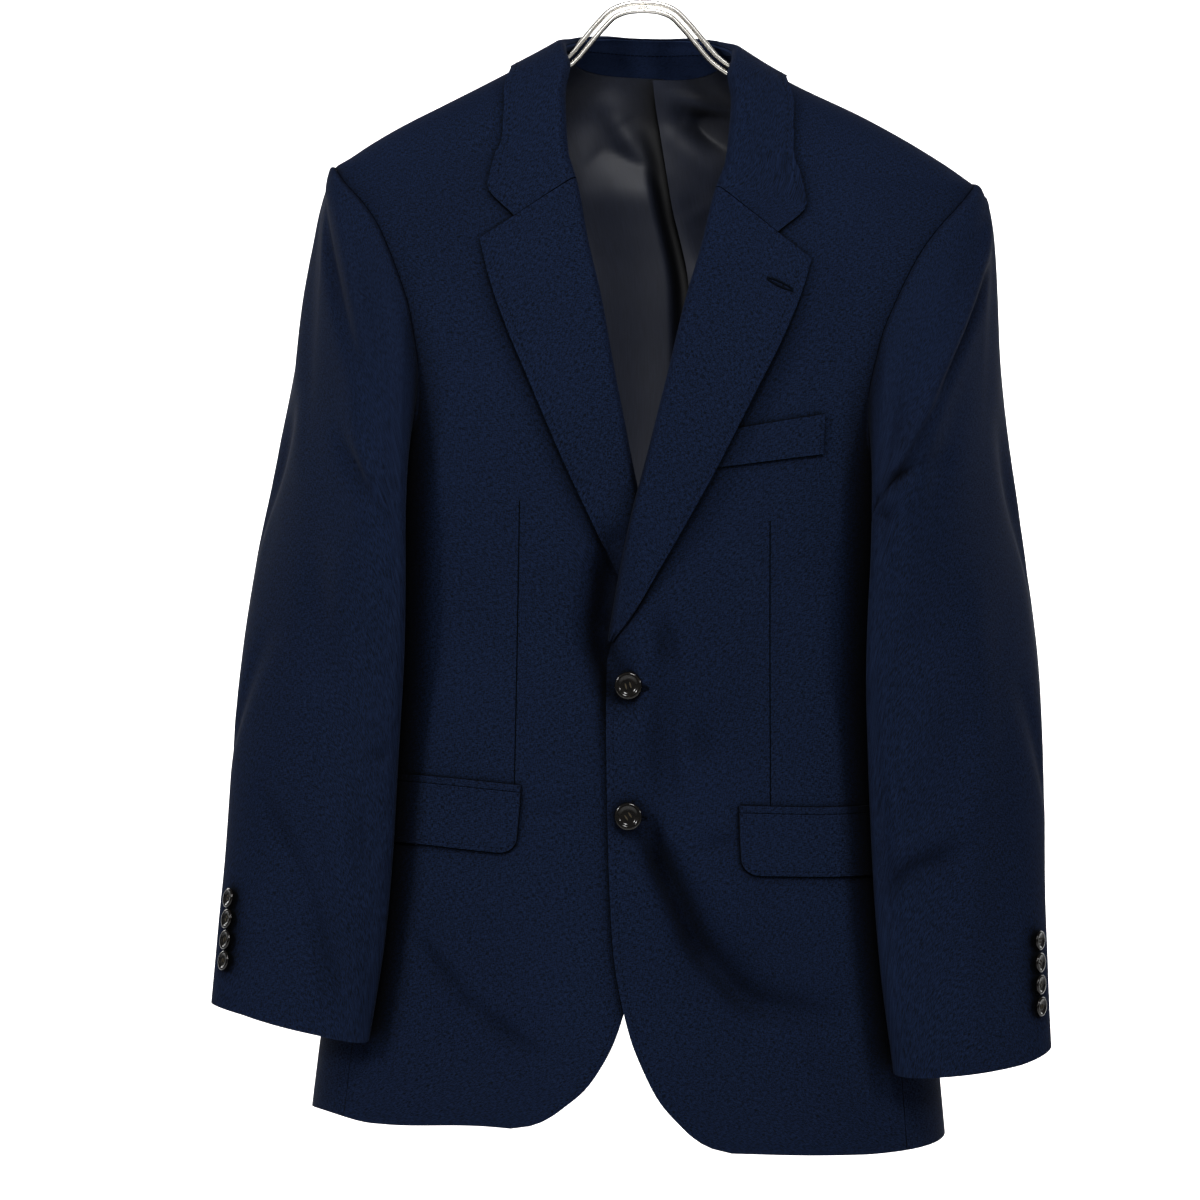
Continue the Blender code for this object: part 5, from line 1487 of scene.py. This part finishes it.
def wire(name, node, points, cyclic=False):
    """A round wire along points in the world, in millimetres, as a mesh."""
    curve = bpy.data.curves.new(name, "CURVE")
    curve.dimensions = "3D"
    curve.bevel_depth = WIRE * MM
    curve.bevel_resolution = 5
    curve.use_fill_caps = not cyclic
    spline = curve.splines.new("POLY")
    spline.points.add(len(points) - 1)
    for spot, (x, y, z) in zip(spline.points, points):
        spot.co = (x * MM, y * MM, z * MM, 1.0)
    spline.use_cyclic_u = cyclic
    guide = new_object(f"{name}_guide", curve)
    mesh = bpy.data.meshes.new_from_object(guide.evaluated_get(bpy.context.evaluated_depsgraph_get()))
    mesh.name = name
    bpy.data.objects.remove(guide)
    mesh.shade_smooth()
    mesh.materials.clear()
    mesh.materials.append(finish("chrome"))
    give(new_object(name, mesh), [node], "chrome")


def lower_rod():
    """The lower rod's middle line from the wearer's right end to the left end, in the world."""
    line = []
    for side in (-1, 1):
        arch = [(side * r.x + HANGER_LEAN, 0.0, r.z) for r in ARCH[(side < 0) :]]
        inset = CLOTH + ROD_CLEAR + WIRE + ROD_SPACING
        half = arch + [tuple(under_crest(side, x, inset)) for x in ARM_CONTACTS]
        line = half[::-1] + line if side < 0 else line + half
    return smooth_line(line, ROD_POINT_EVERY)


def hanger():
    """The two nested rods as one loop of wire, the weld between them, and the hook."""
    low = lower_rod()
    run = np.gradient(low, axis=0)
    up = unit(np.stack([-run[:, 2], 0 * run[:, 1], run[:, 0]], axis=-1))
    high = low + up * ROD_SPACING
    turns = []
    for end, start in ((low[-1], high[-1]), (high[0], low[0])):
        middle, arm = (end + start) / 2, (start - end) / 2
        outward = np.array([arm[2], 0.0, -arm[0]])
        turns.append(
            [middle - arm * math.cos(a) + outward * math.sin(a) for a in np.linspace(0, math.pi, 15)[1:-1]]
        )
    wire("hanger_wire", "hanger_rods", [*low, *turns[0], *high[::-1], *turns[1]], cyclic=True)
    centre = WIRE - HOOK_RADIUS
    angles = np.radians(np.linspace(-90, HOOK_END, 75))
    arc = [(HOOK_RADIUS * math.cos(a), 0.0, centre + HOOK_RADIUS * math.sin(a)) for a in angles]
    stem = [(0.0, 0.0, STEM_BOTTOM), (0.0, 0.0, (STEM_BOTTOM + arc[0][2]) / 2)]
    wire("hook_wire", "hanger_hook", stem + arc)
    bm = bmesh.new()
    bmesh.ops.create_cube(bm, size=1.0)
    bmesh.ops.scale(bm, vec=Vector(WELD) * MM, verts=bm.verts)
    bmesh.ops.bevel(bm, geom=list(bm.edges), offset=0.35 * MM, segments=3, affect="EDGES", profile=0.5)
    bmesh.ops.translate(bm, vec=Vector((HANGER_LEAN, 0.0, ARCH[0].z + ROD_SPACING / 2)) * MM, verts=bm.verts)
    mesh = bpy.data.meshes.new("weld_bead")
    bm.to_mesh(mesh)
    bm.free()
    mesh.shade_smooth()
    mesh.materials.append(finish("chrome"))
    give(new_object("weld_bead", mesh), ["hanger_weld"], "chrome")


# ---------------------------------------------------------------- the stage

CAMERA_AT = (-0.03116, -1.8, -0.51832)
LENS = 36.0 * 1.8 / 0.912
FLOOR_LEVEL, SWEEP_AT, SWEEP_RADIUS = -1.7, 3.2, 1.4
Lamp = namedtuple("Lamp", "name place aim size watts")
LAMPS = [
    Lamp("left_softbox", (-1.9, -1.55, 0.45), (0.0, 0.0, -0.5), 0.4, 47.0),
    Lamp("right_softbox", (1.9, -1.55, 0.45), (0.0, 0.0, -0.5), 0.4, 30.0),
    Lamp("top_softbox", (0.0, -1.9, 1.2), (0.0, 0.0, -0.5), 0.6, 57.0),
    Lamp("wash_left", (-2.6, 2.0, 0.4), (0.0, 4.6, -0.6), 1.6, 150.0),
    Lamp("wash_right", (2.6, 2.0, 0.4), (0.0, 4.6, -0.6), 1.6, 150.0),
]


def backdrop():
    """A sweep of paper: a floor that curves up into a wall."""
    profile = [(-7.0, FLOOR_LEVEL), (SWEEP_AT, FLOOR_LEVEL)]
    for a in np.linspace(0, math.pi / 2, 14)[1:]:
        profile.append((SWEEP_AT + SWEEP_RADIUS * math.sin(a), FLOOR_LEVEL + SWEEP_RADIUS * (1 - math.cos(a))))
    profile.append((SWEEP_AT + SWEEP_RADIUS, 4.5))
    points = [(x, y, z) for y, z in profile for x in (-7.0, 7.0)]
    mesh = bpy.data.meshes.new("paper_sweep")
    mesh.from_pydata(points, [], grid_faces(len(profile), 2).tolist())
    mesh.shade_smooth()
    mesh.materials.append(finish("paper"))
    new_object("paper_sweep", mesh)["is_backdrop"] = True


def lights(settings):
    """Soft boxes round the jacket, and a pale surround."""
    for lamp in LAMPS:
        light = bpy.data.lights.new(lamp.name, "AREA")
        light.shape = "SQUARE"
        light.size = lamp.size
        light.energy = lamp.watts * settings.light
        thing = bpy.data.objects.new(lamp.name, light)
        thing.location = lamp.place
        thing.rotation_mode = "QUATERNION"
        thing.rotation_quaternion = (Vector(lamp.aim) - Vector(lamp.place)).to_track_quat("-Z", "Y")
        bpy.context.scene.collection.objects.link(thing)
    world = bpy.data.worlds.new("surround")
    world.use_nodes = True
    shade = world.node_tree.nodes["Background"]
    shade.inputs["Color"].default_value = (1.0, 1.0, 1.0, 1.0)
    shade.inputs["Strength"].default_value = settings.surround
    bpy.context.scene.world = world
    bpy.context.scene.view_settings.view_transform = "Standard"


def camera():
    """The camera, level and straight in front of the jacket."""
    data = bpy.data.cameras.new("camera")
    data.sensor_width = 36.0
    data.lens = LENS
    data.clip_end = 40.0
    thing = bpy.data.objects.new("camera", data)
    thing.location = CAMERA_AT
    thing.rotation_euler = (math.radians(90), 0.0, 0.0)
    bpy.context.scene.collection.objects.link(thing)
    bpy.context.scene.camera = thing


# ---------------------------------------------------------------- the add-on


class JacketSettings(bpy.types.PropertyGroup):
    """Colours, thread sizes and light."""

    yarn_pitch: FloatProperty(name="Yarn pitch", description="Width of the slubs", default=0.00058, unit="LENGTH")
    stitch_pitch: FloatProperty(name="Stitch pitch", description="Edge stitches apart", default=0.0045, unit="LENGTH")
    stitch_length: FloatProperty(name="Stitch length", description="Of an edge stitch", default=0.0016, unit="LENGTH")
    suiting_dark: StringProperty(name="Suiting, dark yarn", description="sRGB hex", default="#02040b")
    suiting_light: StringProperty(name="Suiting, light yarn", description="sRGB hex", default="#0e172b")
    lining_dark: StringProperty(name="Lining, shade", description="sRGB hex", default="#10131b")
    lining_light: StringProperty(name="Lining, light", description="sRGB hex", default="#1c202d")
    horn_dark: StringProperty(name="Horn, dark", description="sRGB hex", default="#040303")
    horn_light: StringProperty(name="Horn, streaks", description="sRGB hex", default="#0a0806")
    chrome_dark: StringProperty(name="Chrome, dull", description="sRGB hex", default="#c9c4bb")
    chrome_light: StringProperty(name="Chrome, bright", description="sRGB hex", default="#efece6")
    thread_edge: StringProperty(name="Edge thread", description="sRGB hex", default="#060a13")
    # The seam thread's near-black also paints shade: the buttons' holes and the darts' ditches.
    thread_seam_and_shade: StringProperty(name="Seam thread", description="sRGB hex", default="#010204")
    thread_hole: StringProperty(name="Buttonhole thread", description="sRGB hex", default="#03050a")
    thread_button: StringProperty(name="Button thread", description="sRGB hex", default="#2b271f")
    paper: StringProperty(name="Backdrop", description="sRGB hex", default="#ffffff")
    light: FloatProperty(name="Light", description="Share of the lamps' power", default=1.0, min=0.0, subtype="FACTOR")
    surround: FloatProperty(name="Surround", description="Its strength", default=0.22, min=0.0, subtype="FACTOR")


class JACKET_OT_fronts(bpy.types.Operator):
    """Makes the two fronts"""

    bl_idname = "jacket.fronts"
    bl_label = "Fronts"

    def execute(self, context):
        """Makes both sides."""
        for side in WORD:
            front(side)
        return {"FINISHED"}


class JACKET_OT_sides(bpy.types.Operator):
    """Makes the side bodies under the arms"""

    bl_idname = "jacket.sides"
    bl_label = "Side bodies"

    def execute(self, context):
        """Makes both sides."""
        for side in WORD:
            side_panel(side)
        return {"FINISHED"}


class JACKET_OT_backs(bpy.types.Operator):
    """Makes the backs and their vent"""

    bl_idname = "jacket.backs"
    bl_label = "Backs"

    def execute(self, context):
        """Makes both sides."""
        for side in WORD:
            back(side)
        return {"FINISHED"}


class JACKET_OT_lining(bpy.types.Operator):
    """Makes the back's lining with its pleat"""

    bl_idname = "jacket.lining"
    bl_label = "Back lining"

    def execute(self, context):
        """Makes the lining."""
        back_lining()
        return {"FINISHED"}


class JACKET_OT_lapels(bpy.types.Operator):
    """Makes the lapels"""

    bl_idname = "jacket.lapels"
    bl_label = "Lapels"

    def execute(self, context):
        """Makes both sides."""
        for side in WORD:
            lapel(side)
        return {"FINISHED"}


class JACKET_OT_collar(bpy.types.Operator):
    """Makes the collar's fall and stand"""

    bl_idname = "jacket.collar"
    bl_label = "Collar"

    def execute(self, context):
        """Makes both pieces."""
        collar_fall()
        collar_stand()
        return {"FINISHED"}


class JACKET_OT_sleeves(bpy.types.Operator):
    """Makes the top and under sleeves"""

    bl_idname = "jacket.sleeves"
    bl_label = "Sleeves"

    def execute(self, context):
        """Makes both pieces of both sleeves."""
        for side in WORD:
            sleeve(side, "top", HIND_SEAM - 360, FORE_SEAM)
            sleeve(side, "under", FORE_SEAM, HIND_SEAM)
            armhole_tape(side)
        return {"FINISHED"}


class JACKET_OT_pockets(bpy.types.Operator):
    """Makes the flaps, jets and the breast welt"""

    bl_idname = "jacket.pockets"
    bl_label = "Pockets"

    def execute(self, context):
        """Makes every pocket piece."""
        for side in WORD:
            top = FLAP_TOP[side]
            pocket_piece(side, "flap", top - SEAM, top - FLAP_DEEP, CORNER, CLEAR + FACING, FACING)
            pocket_piece(side, "jet", top + JET_TALL, top, 0, JET_LIFT, JET_THICK)
        breast_welt()
        return {"FINISHED"}


class JACKET_OT_buttons(bpy.types.Operator):
    """Makes the horn buttons"""

    bl_idname = "jacket.buttons"
    bl_label = "Buttons"

    def execute(self, context):
        """Makes the front and cuff buttons."""
        front_buttons()
        for side in WORD:
            cuff_buttons(side)
        return {"FINISHED"}


class JACKET_OT_stitching(bpy.types.Operator):
    """Sews the edges, seams and buttonholes"""

    bl_idname = "jacket.stitching"
    bl_label = "Stitching"

    def execute(self, context):
        """Sews along the lines that the cloth pieces left."""
        stitching(context.scene.jacket)
        buttonholes()
        return {"FINISHED"}


class JACKET_OT_hanger(bpy.types.Operator):
    """Makes the wire hanger"""

    bl_idname = "jacket.hanger"
    bl_label = "Hanger"

    def execute(self, context):
        """Makes the rods, the weld and the hook."""
        hanger()
        return {"FINISHED"}


class JACKET_OT_stage(bpy.types.Operator):
    """Makes the backdrop, lights and camera"""

    bl_idname = "jacket.stage"
    bl_label = "Stage"

    def execute(self, context):
        """Makes the whole stage."""
        backdrop()
        lights(context.scene.jacket)
        camera()
        return {"FINISHED"}


MAKERS = [
    JACKET_OT_stage,
    JACKET_OT_fronts,
    JACKET_OT_sides,
    JACKET_OT_backs,
    JACKET_OT_lining,
    JACKET_OT_lapels,
    JACKET_OT_collar,
    JACKET_OT_sleeves,
    JACKET_OT_pockets,
    JACKET_OT_buttons,
    JACKET_OT_stitching,
    JACKET_OT_hanger,
]


class JACKET_PT_pieces(bpy.types.Panel):
    """The jacket's settings and pieces"""

    bl_idname = "JACKET_PT_pieces"
    bl_label = "Suit jacket"
    bl_space_type = "VIEW_3D"
    bl_region_type = "UI"
    bl_category = "Jacket"

    def draw(self, context):
        """Lists the settings, then the operators."""
        for name in JacketSettings.__annotations__:
            self.layout.prop(context.scene.jacket, name)
        for maker in MAKERS:
            self.layout.operator(maker.bl_idname)


CLASSES = (JacketSettings, *MAKERS, JACKET_PT_pieces)


def register():
    """Registers the classes and the scene's settings."""
    for kind in CLASSES:
        bpy.utils.register_class(kind)
    bpy.types.Scene.jacket = PointerProperty(type=JacketSettings)


def unregister():
    """Takes them away again."""
    del bpy.types.Scene.jacket
    for kind in reversed(CLASSES):
        bpy.utils.unregister_class(kind)


def corners(box):
    """A box as plain lists of numbers."""
    return [list(box[0]), list(box[1])]


def main():
    """Makes every piece."""
    register()
    for maker in MAKERS:
        group, name = maker.bl_idname.split(".")
        getattr(getattr(bpy.ops, group), name)()
    {"cad": corners(CAD_BOX), "visual": corners(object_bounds())}


if __name__ == "__main__":
    main()
